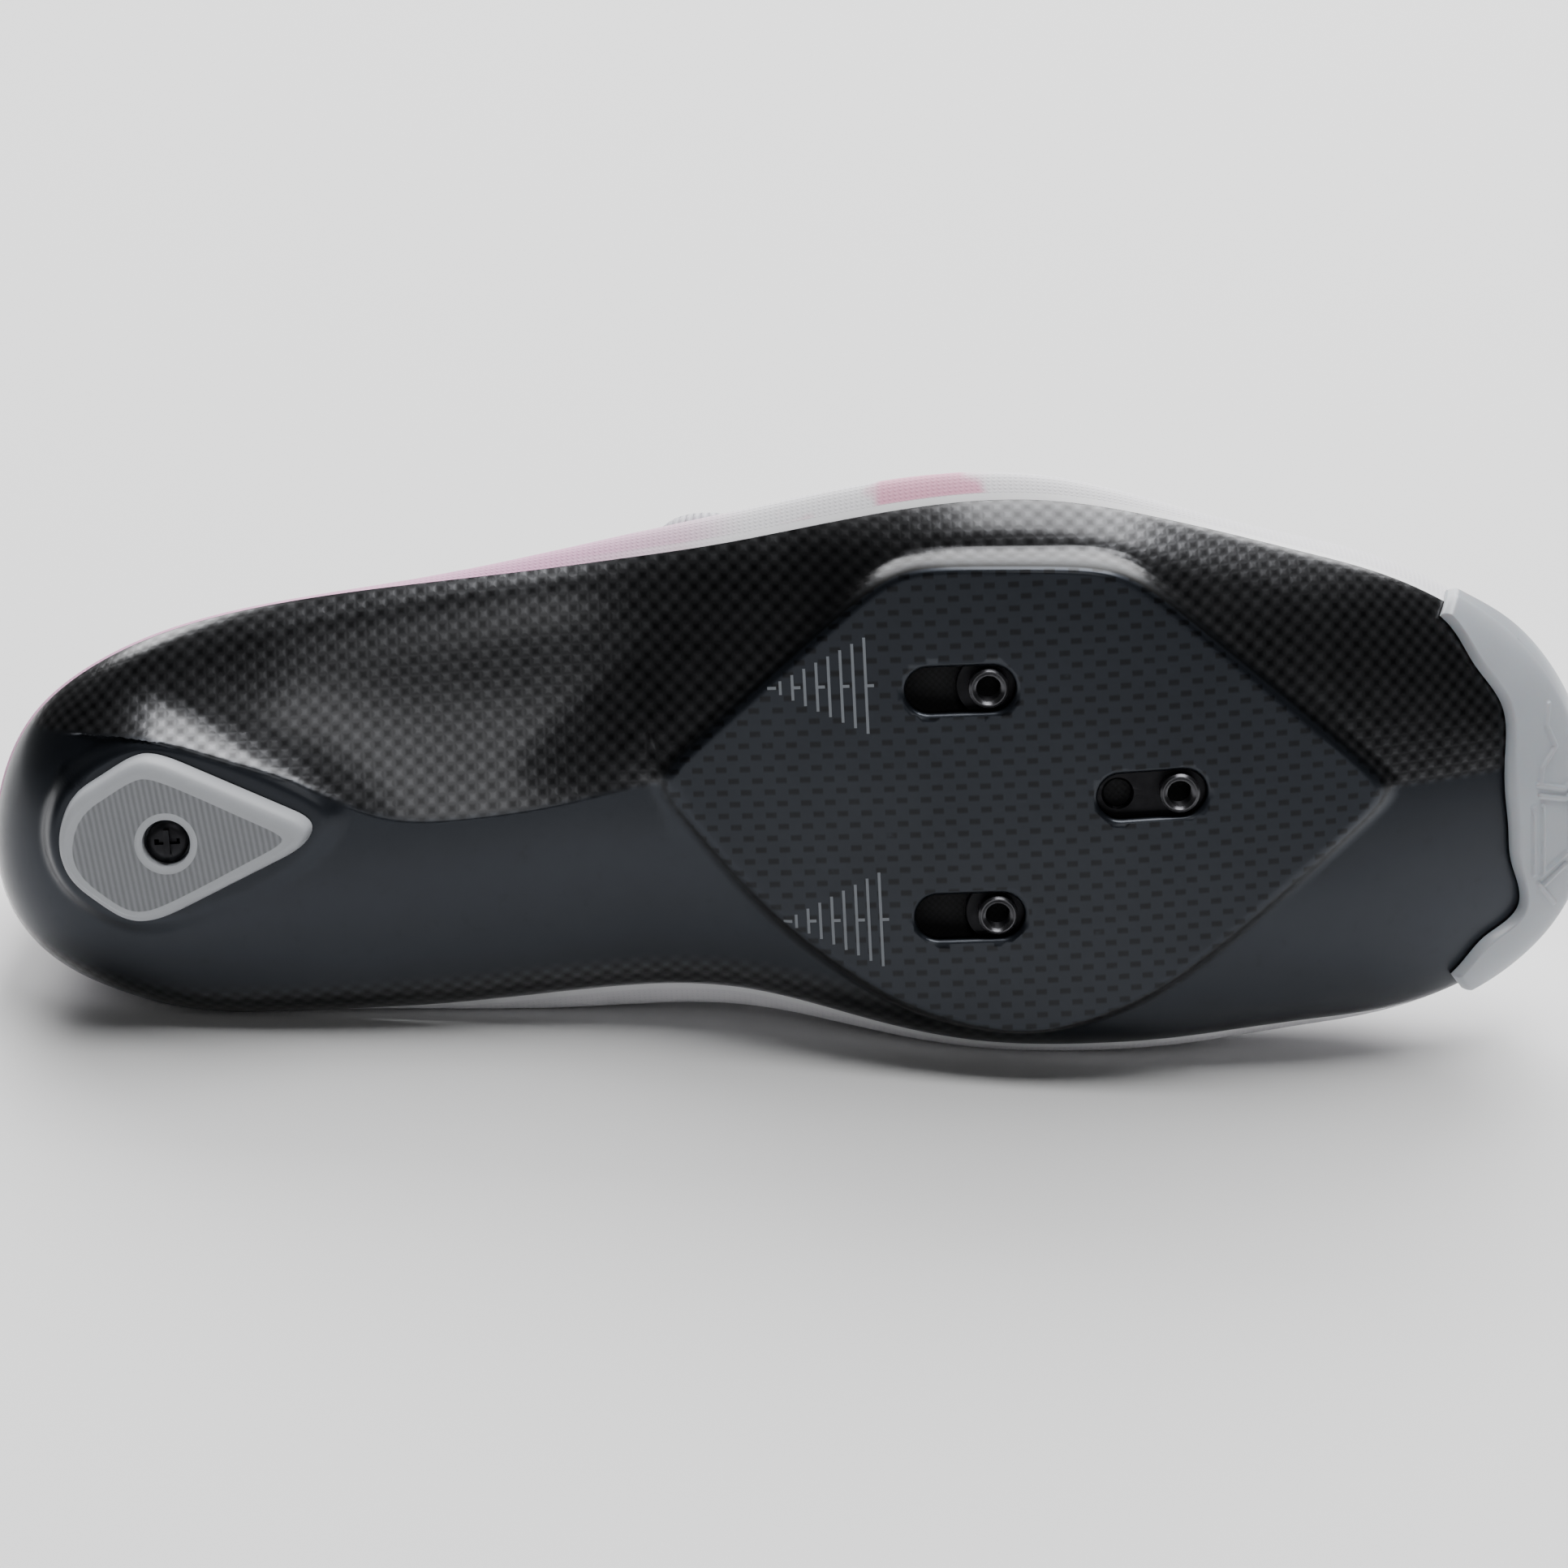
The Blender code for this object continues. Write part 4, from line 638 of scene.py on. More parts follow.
# %% Node wrapper
class Value:
    """A socket of a node tree with arithmetic. Other operands are sockets or numbers."""

    def __init__(self, tree, socket):
        self.tree = tree
        self.socket = socket

    def node(self, kind, inputs, out=0, **settings):
        made = self.tree.nodes.new(kind)
        for key, value in settings.items():
            setattr(made, key, value)
        for slot, value in inputs.items():
            if isinstance(value, Value):
                self.tree.links.new(value.socket, made.inputs[slot])
            else:
                made.inputs[slot].default_value = value
        return Value(self.tree, made.outputs[out])

    def math(self, operation, *others, clamp=False):
        inputs = dict(enumerate((self, *others)))
        return self.node("ShaderNodeMath", inputs, operation=operation, use_clamp=clamp)

    def number(self, value):
        return value if isinstance(value, Value) else self.node("ShaderNodeValue", {}).set(value)

    def set(self, value):
        self.socket.default_value = value
        return self

    def __add__(self, other):
        return self.math("ADD", other)

    __radd__ = __add__

    def __mul__(self, other):
        return self.math("MULTIPLY", other)

    __rmul__ = __mul__

    def __sub__(self, other):
        return self.math("SUBTRACT", other)

    def __rsub__(self, other):
        return self.number(other) - self

    def __truediv__(self, other):
        return self.math("DIVIDE", other)

    def __pow__(self, other):
        return self.math("POWER", other)

    def abs(self):
        return self.math("ABSOLUTE")

    def floor(self):
        return self.math("FLOOR")

    def below(self, other):
        return self.math("LESS_THAN", other)

    def above(self, other):
        return self.math("GREATER_THAN", other)

    def most(self, other):
        return self.math("MAXIMUM", other)

    def step(self, low, high):
        """Soft step from 0 at low to 1 at high."""
        inputs = {"Value": self, "From Min": low, "From Max": high}
        return self.node("ShaderNodeMapRange", inputs, interpolation_type="SMOOTHSTEP")

    def mix(self, a, b):
        """Colour a where self is 0, and b where it is 1."""
        inputs = {0: self, 6: colour(a), 7: colour(b)}
        return self.node("ShaderNodeMix", inputs, out=2, data_type="RGBA")


def colour(value):
    return value if isinstance(value, Value) else (*value, 1.0)


print("sockets can be added and multiplied")

# %% [markdown]
# ## Finish
# Every material has one shader. Its patterns read the shoe's own frame in millimetres, or the piece's own map
# where they follow the surface, so that a weave or a knit keeps its real pitch.


# %% Finish
class Finish:
    """A material with one Principled shader, and the coordinates that its patterns use, in millimetres."""

    def __init__(self, name, **constants):
        self.material = bpy.data.materials.new(name)
        self.material.use_nodes = True
        self.tree = self.material.node_tree
        self.shader = self.tree.nodes["Principled BSDF"]
        for key, value in constants.items():
            socket = self.shader.inputs[key.replace("_", " ")]
            socket.default_value = (*value, 1.0) if isinstance(value, tuple) else value

    def source(self, kind, out, **settings):
        made = self.tree.nodes.new(kind)
        for key, value in settings.items():
            setattr(made, key, value)
        return Value(self.tree, made.outputs[out])

    def shoe(self):
        """x, y and z in the shoe's frame: the lying pose undone."""
        world = self.source("ShaderNodeTexCoord", "Object")
        away = world.node("ShaderNodeVectorMath", {0: world, 1: tuple(SHIFT)}, operation="SUBTRACT")
        parts = []
        for axis in TURN.T:
            inputs = {0: away, 1: tuple(axis * 1000)}
            parts.append(world.node("ShaderNodeVectorMath", inputs, out="Value", operation="DOT_PRODUCT"))
        return parts

    def own_map(self, name="shoe"):
        """One of the mesh's own maps, in millimetres."""
        pair = self.source("ShaderNodeUVMap", "UV", uv_map=name)
        split = self.tree.nodes.new("ShaderNodeSeparateXYZ")
        self.tree.links.new(pair.socket, split.inputs[0])
        return Value(self.tree, split.outputs[0]) * 1000.0, Value(self.tree, split.outputs[1]) * 1000.0

    def noise(self, size, detail=2.0, roughness=0.5, stretch=(1, 1, 1)):
        """Noise from 0 to 1 with features of the given size in millimetres."""
        world = self.source("ShaderNodeTexCoord", "Object")
        scale = tuple(1000.0 * s / size for s in stretch)
        spread = world.node("ShaderNodeVectorMath", {0: world, 1: scale}, operation="MULTIPLY")
        inputs = {"Vector": spread, "Scale": 1.0, "Detail": detail, "Roughness": roughness}
        return world.node("ShaderNodeTexNoise", inputs)

    def link(self, slot, value):
        self.tree.links.new(value.socket, self.shader.inputs[slot])

    def bump(self, height, distance, strength=1.0):
        """height from 0 to 1 stands for the distance in millimetres."""
        inputs = {"Height": height, "Distance": distance / 1000.0, "Strength": strength}
        self.link("Normal", height.node("ShaderNodeBump", inputs))


print("wrapper ready")

# %% [markdown]
# ### Carbon
# A plain weave of tows about 2 mm wide: cells where the lengthwise tow is on top alternate with cells where the
# crosswise tow is. One kind shines and the other stays dark. On the keel and the plateau the tows lie flat
# under thicker lacquer, so only small dark dashes show. Two parities of a checker say which tow is on top.


# %% Carbon
def carbon_finish():
    made = Finish("carbon weave", Metallic=0.85, Roughness=0.26, Coat_Roughness=0.20, Coat_IOR=1.5)
    x, y, _ = made.shoe()
    u, v = made.own_map()

    def tows(width):
        """Checker of crossing tows: which one is on top, and the place across the cell both ways, 0 to 1."""
        cell_u = u / width
        cell_v = v / width
        parity = (cell_u.floor() + cell_v.floor()) / 2.0
        in_u = (cell_u - cell_u.floor() - 0.5).abs() * 2.0
        in_v = (cell_v - cell_v.floor() - 0.5).abs() * 2.0
        return (parity - parity.floor()) * 2.0, in_u, in_v

    odd, in_u, in_v = tows(1.75)
    across = in_u.most(in_v)
    inner = 1.0 - across.step(0.20, 1.0)
    bright = odd * inner
    dark = (1.0 - odd) * inner
    flat_keel, flat_top = made.own_map("cover")
    patch = made.noise(9.0)
    wave = made.noise(2.6)
    weave = 0.24 + bright * 0.20 - dark * 0.17 + (patch - 0.5) * 0.14 + (wave - 0.5) * 0.10
    odd, in_u, in_v = tows(2.05)
    dash = (1.0 - odd) * (1.0 - in_v.step(0.20, 0.75)) * (1.0 - in_u.step(0.7, 1.1)) * wave.step(0.12, 0.36)
    top = 0.170 - dash * 0.13 + (patch - 0.5) * 0.05
    plain = 0.155 + (patch - 0.5) * 0.03 - wave.step(0.60, 0.78) * 0.015
    tone = (weave * (1.0 - flat_top) + top * flat_top) * (1.0 - flat_keel) + plain * flat_keel
    smooth_part = flat_keel.most(flat_top)
    # painted shade: between 136 and 206 mm along the shoe the woven carbon's tone is darkened, by up to 45%
    tone = tone * (1.0 - x.step(136.0, 150.0) * (1.0 - x.step(186.0, 206.0)) * (1.0 - smooth_part) * 0.45)
    light = smooth_part.mix((0.172, 0.175, 0.185), (0.110, 0.134, 0.175))
    base = tone.mix((0.003, 0.003, 0.004), light)
    depth, _ = made.own_map("depth")
    # painted shade: down the slots' walls the carbon's colour goes near black the deeper they lie
    slot_depth_shade = depth.step(0.35, 1.0) * flat_top

    def scale(x_first, y_middle):
        """Eight fitting marks 2.09 mm apart that grow towards the slot, with dashes along their middle."""
        at = (x - x_first) / 2.09
        number = (at + 0.5).floor()
        line = ((at - number).abs() * 2.09).below(0.24)
        high = (y - y_middle).abs().below((2.4 + number * 2.05) / 2.0)
        on_scale = at.above(-0.4) * at.below(7.4)
        pair = (at + 0.7) / 2.0
        off = (pair - (pair + 0.5).floor()).abs() * 2.0
        dash_here = off.below(0.36) * (y - y_middle).abs().below(0.26) * at.above(-1.2) * at.below(7.9)
        return (line * high * on_scale).most(dash_here)

    marks = scale(139.0, -21.3).most(scale(139.7, 20.0))
    base = (marks * 0.8).mix(base, (0.20, 0.22, 0.245))
    made.link("Base Color", slot_depth_shade.mix(base, (0.0015, 0.0015, 0.0015)))
    made.link("Metallic", 0.85 - marks * 0.8)
    made.link("Roughness", 0.30 + (wave - 0.5) * 0.08 + marks * 0.2 + smooth_part * 0.08)
    made.link("Coat Weight", (made.noise(30.0) * 0.1 + 0.30) * (1.0 - slot_depth_shade))
    tow = bright * 0.6 + dark * 0.4
    made.bump(tow * (1.0 - flat_keel) * (1.0 - flat_top * 0.9), 0.055, 0.6)
    return made.material


CARBON = carbon_finish()
print(CARBON.name)

# %% [markdown]
# ### Rubber, metal and plastic
# The pad is ribbed rubber, the bumper clouded rubber that lets a little light in, and the hard parts are dark
# steel and grained plastic. The ribs are a sine in the material, because they are finer than a mesh is worth.


# %% Rubber, metal and plastic
def pad_finish():
    """Grey rubber. The ribs, 1 mm apart, run across the shoe on the inner face. Rim and ring stay smooth."""
    made = Finish("pad rubber", Roughness=0.55)
    x, y, _ = made.shoe()
    inner, _ = made.own_map()
    inner = inner / 1000.0
    away = ((x - SCREW_X * 1000) ** 2.0 + (y - SCREW_Y * 1000) ** 2.0) ** 0.5
    face = inner.step(0.75, 0.95) * away.step(5.2, 5.5)
    rib = ((x - y * 0.12) * (2 * math.pi / 1.02)).math("SINE") * 0.5 + 0.5
    dirt = made.noise(3.0, 4.0)
    tone = 0.95 - face * 0.38 - face * rib * 0.20 + (dirt - 0.5) * 0.08
    made.link("Base Color", tone.mix((0.04, 0.043, 0.048), (0.42, 0.435, 0.46)))
    made.link("Roughness", 0.50 + face * 0.12 + (dirt - 0.5) * 0.1)
    made.bump(rib * face + made.noise(0.5) * 0.12, 0.16, 0.8)
    return made.material


def bumper_finish():
    """Pale translucent rubber, a little clearer where it is thin, with fine pits."""
    made = Finish("toe bumper", Roughness=0.36, Subsurface_Weight=0.12, Subsurface_Scale=0.004)
    cloud = made.noise(11.0)
    fine = made.noise(0.7, 4.0)
    tone = 0.55 + (cloud - 0.5) * 0.30 + (fine - 0.5) * 0.08
    made.link("Base Color", tone.mix((0.26, 0.28, 0.31), (0.50, 0.53, 0.57)))
    made.link("Roughness", 0.34 + (fine - 0.5) * 0.16)
    made.bump(fine, 0.03, 0.5)
    return made.material


def metal_finish(name, tone, roughness, worn):
    """Dark metal with a faint grain."""
    made = Finish(name, Metallic=0.9, Roughness=roughness)
    grain = made.noise(0.35, 3.0)
    cloud = made.noise(2.0)
    made.link("Base Color", (cloud * 0.5 + grain * 0.2).mix(tone, worn))
    made.link("Roughness", roughness + (grain - 0.5) * 0.1)
    made.bump(grain, 0.004, 0.4)
    return made.material


def plastic_finish(name, tone, light, roughness):
    """Moulded plastic with a fine eroded grain."""
    made = Finish(name, Roughness=roughness)
    grain = made.noise(0.35, 2.0)
    cloud = made.noise(6.0)
    made.link("Base Color", (cloud * 0.6 + grain * 0.3).mix(tone, light))
    made.link("Roughness", roughness + (grain - 0.5) * 0.15)
    made.bump(grain, 0.02, 0.6)
    return made.material


PAD_RUBBER = pad_finish()
BUMPER_RUBBER = bumper_finish()
STEEL = metal_finish("nut steel", (0.055, 0.055, 0.06), 0.30, (0.14, 0.14, 0.15))
# painted shade: the flanges are the same steel as the barrels, made much darker because they lie down in the slots
SHADED_FLANGE_STEEL = metal_finish("flange steel", (0.006, 0.006, 0.007), 0.36, (0.030, 0.030, 0.033))
BLACK_METAL = metal_finish("black screw", (0.004, 0.004, 0.005), 0.34, (0.05, 0.05, 0.055))
DIAL_GREY = plastic_finish("dial grey", (0.50, 0.50, 0.54), (0.66, 0.66, 0.70), 0.38)
BLACK_PLASTIC = plastic_finish("black plastic", (0.02, 0.02, 0.022), (0.05, 0.05, 0.055), 0.45)
print("plain finishes ready")

# %% [markdown]
# ### Cloth
# The upper is a fine white knit with plain soft areas of pink and mauve on its outer side, strongest at the rear
# quarter and gone at the toe. A clean white line runs along the feather edge. Crossed sines make the loops, so
# that the knit keeps its pitch round every curve.


# %% Cloth
def knit_finish():
    """White knit whose loops are two crossed waves, with plain soft areas of colour."""
    made = Finish("upper knit", Roughness=0.62, Sheen_Weight=0.15, Sheen_Roughness=0.5)
    u, v = made.own_map()
    x, y, z = made.shoe()
    big = made.noise(38.0, 1.0)
    mid = made.noise(15.0, 2.0)
    outer_side = 1.0 - y.step(-6.0, 16.0)
    rear = 1.0 - x.step(96.0, 150.0)
    fore = x.step(156.0, 163.0) * (1.0 - x.step(174.0, 181.0)) * (1.0 - v.step(20.0, 30.0))
    mauve = (big + rear * 0.50 - 0.16).step(0.36, 0.62) * outer_side
    rose = (mid + fore * 0.26).step(0.60, 0.74) * outer_side
    rose = rose * x.step(60.0, 120.0) * (1.0 - x.step(178.0, 200.0))
    deep = x.step(181.5, 183.0) * (1.0 - x.step(187.0, 188.5)) * outer_side
    deep = deep * v.step(7.5, 9.0) * (1.0 - v.step(13.0, 15.0))
    line = (1.0 - v.step(1.3, 1.6)) * (1.0 - rear * outer_side)
    wale = (u * (2 * math.pi / 0.95)).math("SINE") * 0.5 + 0.5
    course = ((v + wale * 0.25) * (2 * math.pi / 0.75)).math("SINE") * 0.5 + 0.5
    loops = wale * course
    holes = loops.step(0.55, 0.95)
    tone = (mauve * (rear * 0.75 + 0.25)).mix((0.86, 0.85, 0.88), (0.70, 0.34, 0.54))
    tone = (rose * 0.85).mix(tone, (0.80, 0.30, 0.46))
    tone = (deep * 0.9).mix(tone, (0.62, 0.10, 0.24))
    tone = (holes * 0.16 * (1.0 - line)).mix(tone, (0.36, 0.36, 0.44))
    tone = line.mix(tone, (0.90, 0.90, 0.92))
    made.link("Base Color", tone)
    made.link("Roughness", 0.62 + (mid - 0.5) * 0.1 - line * 0.15)
    made.bump(loops * (1.0 - line) + mid * 0.2, 0.10, 0.55)
    return made.material


def cloth_finish(name, tone, light, pitch, roughness=0.85):
    """Plain weave or mesh: two crossed waves make the threads."""
    made = Finish(name, Roughness=roughness, Sheen_Weight=0.2)
    u, v = made.own_map()
    warp = (u * (2 * math.pi / pitch)).math("SINE")
    weft = (v * (2 * math.pi / pitch)).math("SINE")
    thread = warp * weft * 0.5 + 0.5
    cloud = made.noise(7.0)
    made.link("Base Color", (thread * 0.5 + cloud * 0.4).mix(tone, light))
    made.link("Roughness", roughness + (cloud - 0.5) * 0.1)
    made.bump(thread, 0.12, 0.6)
    return made.material


def cord_finish():
    """Woven cord: two crossed spirals of threads."""
    made = Finish("lace cord", Roughness=0.7, Sheen_Weight=0.2)
    u, v = made.own_map()
    left = ((u * 5.0 + v) * 6.0).math("SINE")
    right = ((u * 5.0 - v) * 6.0).math("SINE")
    braid = left.most(right) * 0.5 + 0.5
    made.link("Base Color", braid.mix((0.30, 0.30, 0.32), (0.80, 0.80, 0.83)))
    made.link("Roughness", 0.65 + made.noise(1.0) * 0.1)
    made.bump(braid, 0.06, 0.6)
    return made.material


KNIT = knit_finish()
LINING = cloth_finish("collar lining", (0.20, 0.20, 0.22), (0.42, 0.42, 0.45), 0.9)
FOOTBED = cloth_finish("footbed cloth", (0.003, 0.003, 0.0035), (0.016, 0.016, 0.018), 1.2, 0.9)
TONGUE_CLOTH = cloth_finish("tongue cloth", (0.66, 0.62, 0.67), (0.88, 0.84, 0.89), 1.1)
CORD = cord_finish()
print("cloth ready")

# %% [markdown]
# ## Outsole
# The carbon shell is moulded, and its slots, pockets and screw hole are cut afterwards. The cutters here are made
# the same way: closed stacks of outlines, a little longer than the wall that they go through.


# %% Cutters
def slots():
    rear = BOLT_REAR_X
    front = BOLT_REAR_X + BOLT_REACH
    return (
        ("cleat_nut_rear_lateral", rear, -BOLT_SPREAD / 2, 0.0),
        ("cleat_nut_rear_medial", rear, BOLT_SPREAD / 2, 0.0),
        ("cleat_nut_front", front, 0.0, FRONT_PLATE_TAIL),
    )


def pocket_level(x_front):
    """Floor of a nut's pocket: the highest of the plateau over the slot plus the pocket's floor."""
    return float(np.max(plateau_z(np.linspace(x_front - SLOT_LENGTH, x_front, 9)))) + POCKET_FLOOR


def unrolled(cut, points):
    """Map that keeps lengths: the foot line's point plus the length walked outwards along the section."""
    step = np.linalg.norm(np.diff(points, axis=0), axis=-1)
    length = np.concatenate([np.zeros((1, points.shape[1])), np.cumsum(step, axis=0)])
    return np.stack(cut.place(length), axis=-1)


def slot_cutters():
    """Slots with a small chamfer at the plateau's face, and the screw hole."""
    for _, x, y, _ in slots():
        front = x + SLOT_FRONT_ROOM
        rear = front - SLOT_LENGTH
        grow = (0.0007, 0.0007, 0.0, 0.0)
        outlines = [stadium(rear - g, front + g, y, SLOT_WIDTH / 2 + g) for g in grow]
        face = [plateau_z(o[:, 0]) for o in outlines]
        heights = (face[0] - 0.004, face[1] - 0.00002, face[2] + 0.0006, 0.03)
        yield make("slot_cutter", [(closed(stack(outlines, heights)), True)], None)
    hole = lathe([(0.0022, -0.01), (0.0022, 0.02)], 32, (SCREW_X, SCREW_Y, 0))
    yield make("screw_hole_cutter", [(closed(hole), True)], None)


def pocket_cutters():
    for _, x, y, tail in slots():
        wide = FLANGE_RADIUS + POCKET_SIDE_ROOM
        outline = stadium(x - NUT_TRAVEL - wide - tail, x + wide, y, wide)
        rings = closed(stack([outline, outline], (pocket_level(x + SLOT_FRONT_ROOM), 0.03)))
        yield make("pocket_cutter", [(rings, True)], None)


print("slots", [name for name, *_ in slots()])

# %% [markdown]
# ## Outsole shell
# Outside, inside and rim are three grids welded into one shell. Rings crowd where the plateau steps down, and
# two more maps tell the carbon where it is smooth and how deep a slot's wall lies.

# %% Outsole shell
ROUND = Slices(*loop_stations(300))
OUTER = sole_points(ROUND, fine_shares(ROUND, 74))
INNER = bed_points(ROUND, 1 - (1 - np.linspace(0.0, 1.0, 18)[:, None]) ** 1.6 + 0 * ROUND.reach)
WALL = np.stack([OUTER[-1], INNER[-1]])


def masks(points):
    """From 0 to 1: the smooth side of keel and toe, woven near the medial edge, and the plateau."""
    x, y = points[..., 0], points[..., 1]
    to_plateau = outside(polygon(PLATEAU, BALL_WIDTH), x, y, PLATEAU_ROUND)
    border = np.where(x < 0.5 * SHOE_LENGTH, along(KEEL_EDGE, 1, x) * WAIST_WIDTH, 0.003)
    woven = smooth(0.76, 0.90, y / np.interp(x, *MEDIAL_RIM)) * (1 - smooth(0.60, 0.68, x / SHOE_LENGTH))
    keel = smooth(-0.0010, 0.0006, y - border) * smooth(0.0, 0.0012, to_plateau) * (1 - woven)
    return np.stack([keel, 1 - smooth(-0.0004, 0.0012, to_plateau)], axis=-1) / 1000


maps = [unrolled(ROUND, OUTER), unrolled(ROUND, INNER), unrolled(ROUND, OUTER)[-1:] + np.zeros((2, 1, 1))]
outsole = make(
    "outsole_shell", [(OUTER, True), (INNER, True), (WALL, True)], CARBON,
    coords=np.concatenate([m.reshape(-1, 2) for m in maps]), smooth_angle=60,
)


def second_map(obj, name, values):
    """Give an object a second map worked out from its points in the shoe's frame."""
    mesh = obj.data
    co = np.empty(3 * len(mesh.vertices))
    mesh.vertices.foreach_get("co", co)
    back = (co.reshape(-1, 3) - SHIFT) @ TURN
    index = np.empty(len(mesh.loops), dtype=np.int32)
    mesh.loops.foreach_get("vertex_index", index)
    uv = values(back)[index].astype(np.float32)
    mesh.uv_layers.new(name=name).data.foreach_set("uv", uv.ravel())


for cutter in (*pocket_cutters(), *slot_cutters()):
    cut_out(outsole, cutter)
second_map(outsole, "cover", masks)
# the depth map drives the carbon's painted shade down the slots' walls
second_map(outsole, "depth", lambda p: np.stack([p[:, 2] - plateau_z(p[:, 0]), 0 * p[:, 0]], axis=-1))
outsole.data.set_sharp_from_angle(angle=math.radians(60))
own(outsole, "shoe", "carbon", "outsole")

# %% [markdown]
# ## Outlines of the pad
# The rubber block has a kite's outline with rounded corners. Moving every side inwards by one amount keeps its
# corners mitred, and reading each outline at the same angles lets rings of different shapes join without twisting.


# %% Outlines of the pad
def rounded(corners, radius, steps=10):
    """A convex outline with each corner swapped for a short parabola."""
    made = []
    count = len(corners)
    for i in range(count):
        here = corners[i]
        before = corners[i - 1] - here
        after = corners[(i + 1) % count] - here
        start = here + before / np.hypot(*before) * min(radius, np.hypot(*before) / 2.2)
        end = here + after / np.hypot(*after) * min(radius, np.hypot(*after) / 2.2)
        share = np.linspace(0, 1, steps)[:, None]
        made.append((1 - share) ** 2 * start + 2 * share * (1 - share) * here + share**2 * end)
    return np.concatenate(made)


def inset(outline, amount):
    """The outline moved inwards along its normals."""
    tangent = np.roll(outline, -1, axis=0) - np.roll(outline, 1, axis=0)
    tangent = tangent / np.hypot(*tangent.T)[:, None]
    normal = np.c_[-tangent[:, 1], tangent[:, 0]]
    inwards = np.sign(np.sum(normal * (outline.mean(axis=0) - outline)))
    return outline + normal * amount * inwards


def shifted(corners, amount):
    """A convex outline with every side moved inwards by the same amount, so the corners are mitred."""
    ahead = np.roll(corners, -1, axis=0) - corners
    ahead = ahead / np.hypot(*ahead.T)[:, None]
    normal = np.c_[-ahead[:, 1], ahead[:, 0]]
    normal = normal * np.sign(np.sum(normal * (corners.mean(axis=0) - corners)))
    before = np.roll(normal, 1, axis=0)
    return corners + amount * (before + normal) / (1 + np.sum(before * normal, axis=-1))[:, None]


def by_turn(outline, centre, turns):
    """The outline again, at the given angles as seen from the centre."""
    loop = np.concatenate([outline, outline[:1]])
    reach = np.concatenate([[0.0], np.cumsum(np.hypot(*np.diff(loop, axis=0).T))])
    fine = np.linspace(0, reach[-1], 4000, endpoint=False)
    dense = np.stack([np.interp(fine, reach, loop[:, k]) for k in range(2)], axis=1) - centre
    angle = np.arctan2(dense[:, 1], dense[:, 0])
    if turns is None:
        swept = np.unwrap(angle)
        share = (fine / reach[-1] + np.abs(swept - swept[0]) / (2 * math.pi)) / 2
        return np.interp(np.linspace(0, 1, 180, endpoint=False), share, swept)
    radius = np.interp(turns, angle, np.hypot(*dense.T), period=2 * math.pi)
    return centre + radius[:, None] * np.c_[np.cos(turns), np.sin(turns)]


print("corners of the pad", len(PAD))

# %% [markdown]
# ## Heel pad
# The block that wears is held by one screw, so that it can be changed. It is one closed grid: up the drafted side,
# over the bevel, across the face and down the hole. A boolean for the hole would leave long thin faces.


# %% Heel pad
def make_pad():
    """Drafted side, bevelled rim, ribbed face and a smooth ring round the screw hole, as one closed grid.
    The rim is wider in front and on the lateral side, because the face is set back towards the heel."""
    corners = polygon(PAD, HEEL_WIDTH)
    steps = (
        (0.0, 3.3), (0.10, 2.6), (0.40, 1.4), (0.65, 0.75), (0.95, 0.36),
        (1.35, 0.12), (1.7, 0.02), (2.0, 0.0), (2.2, 0.04), (2.35, 0.12),
    )
    middle = np.array([SCREW_X, SCREW_Y])
    turns = by_turn(rounded(corners, 0.004), middle, None)
    lean = np.array([-0.0008, 0.0008]) / steps[-1][0]
    moved = [rounded(shifted(corners, a / 1000), 0.004) + lean * a for a, _ in steps]
    outlines = [by_turn(outline, middle, turns) for outline in moved]
    rings = stack(outlines, [z / 1000 for _, z in steps])
    away = np.c_[np.cos(turns), np.sin(turns)]
    hole = ((5.4, 0.12), (5.25, 0.02), (4.9, -0.02), (4.5, 0.02), (4.15, 0.30), (4.1, 0.60), (4.1, 3.3))
    inner = stack([middle + away * r / 1000 for r, _ in hole], [z / 1000 for _, z in hole])
    shares = np.linspace(0.0, 1.0, 10)[1:-1, None, None]
    face = rings[-1] + (inner[0] - rings[-1]) * shares
    points = np.concatenate([rings, face, inner, rings[:1]])
    ribbed = np.zeros(points.shape[:2])
    ribbed[len(steps) : len(steps) + 9] = 1.0
    coords = np.stack([ribbed, ribbed], axis=-1)
    return make("heel_pad_rubber", [(points, True)], PAD_RUBBER, coords=coords, smooth_angle=40)


pad = own(make_pad(), "shoe", "pad_rubber", "heel_pad")

# %% [markdown]
# ## Heel screw
# A black screw with a cross recess. The head is turned, and two tapered bars are taken out of it.


# %% Heel screw
def make_screw():
    """A turned head with a cross sunk into it."""
    top = HEEL_SEAT - GAP
    low = top - SCREW_HEAD_HEIGHT
    edge = 0.0004
    profile = [(0.0, low), (SCREW_HEAD_RADIUS * 0.6, low), (SCREW_HEAD_RADIUS - edge, low + 0.0001)]
    profile += [(SCREW_HEAD_RADIUS, low + edge), (SCREW_HEAD_RADIUS, top)]
    profile += [(0.0019, top), (0.0019, top + 0.003), (0.0, top + 0.003)]
    screw = make("heel_screw_metal", [(lathe(profile, 64, (SCREW_X, SCREW_Y, 0)), True)], BLACK_METAL)
    for wide, deep in ((0.0044, 0.0010), (0.0010, 0.0044)):
        bar = np.array([(-wide, -deep), (wide, -deep), (wide, deep), (-wide, deep)]) / 2 + (SCREW_X, SCREW_Y)
        small = (bar - (SCREW_X, SCREW_Y)) * 0.7 + (SCREW_X, SCREW_Y)
        rings = stack([bar, bar, small], (low - 0.001, low, low + 0.0009))
        cut_out(screw, make("cross_cutter", [(closed(rings), True)], None))
    screw.data.set_sharp_from_angle(angle=math.radians(35))
    return screw


screw = own(make_screw(), "shoe", "screw_black", "heel_screw")

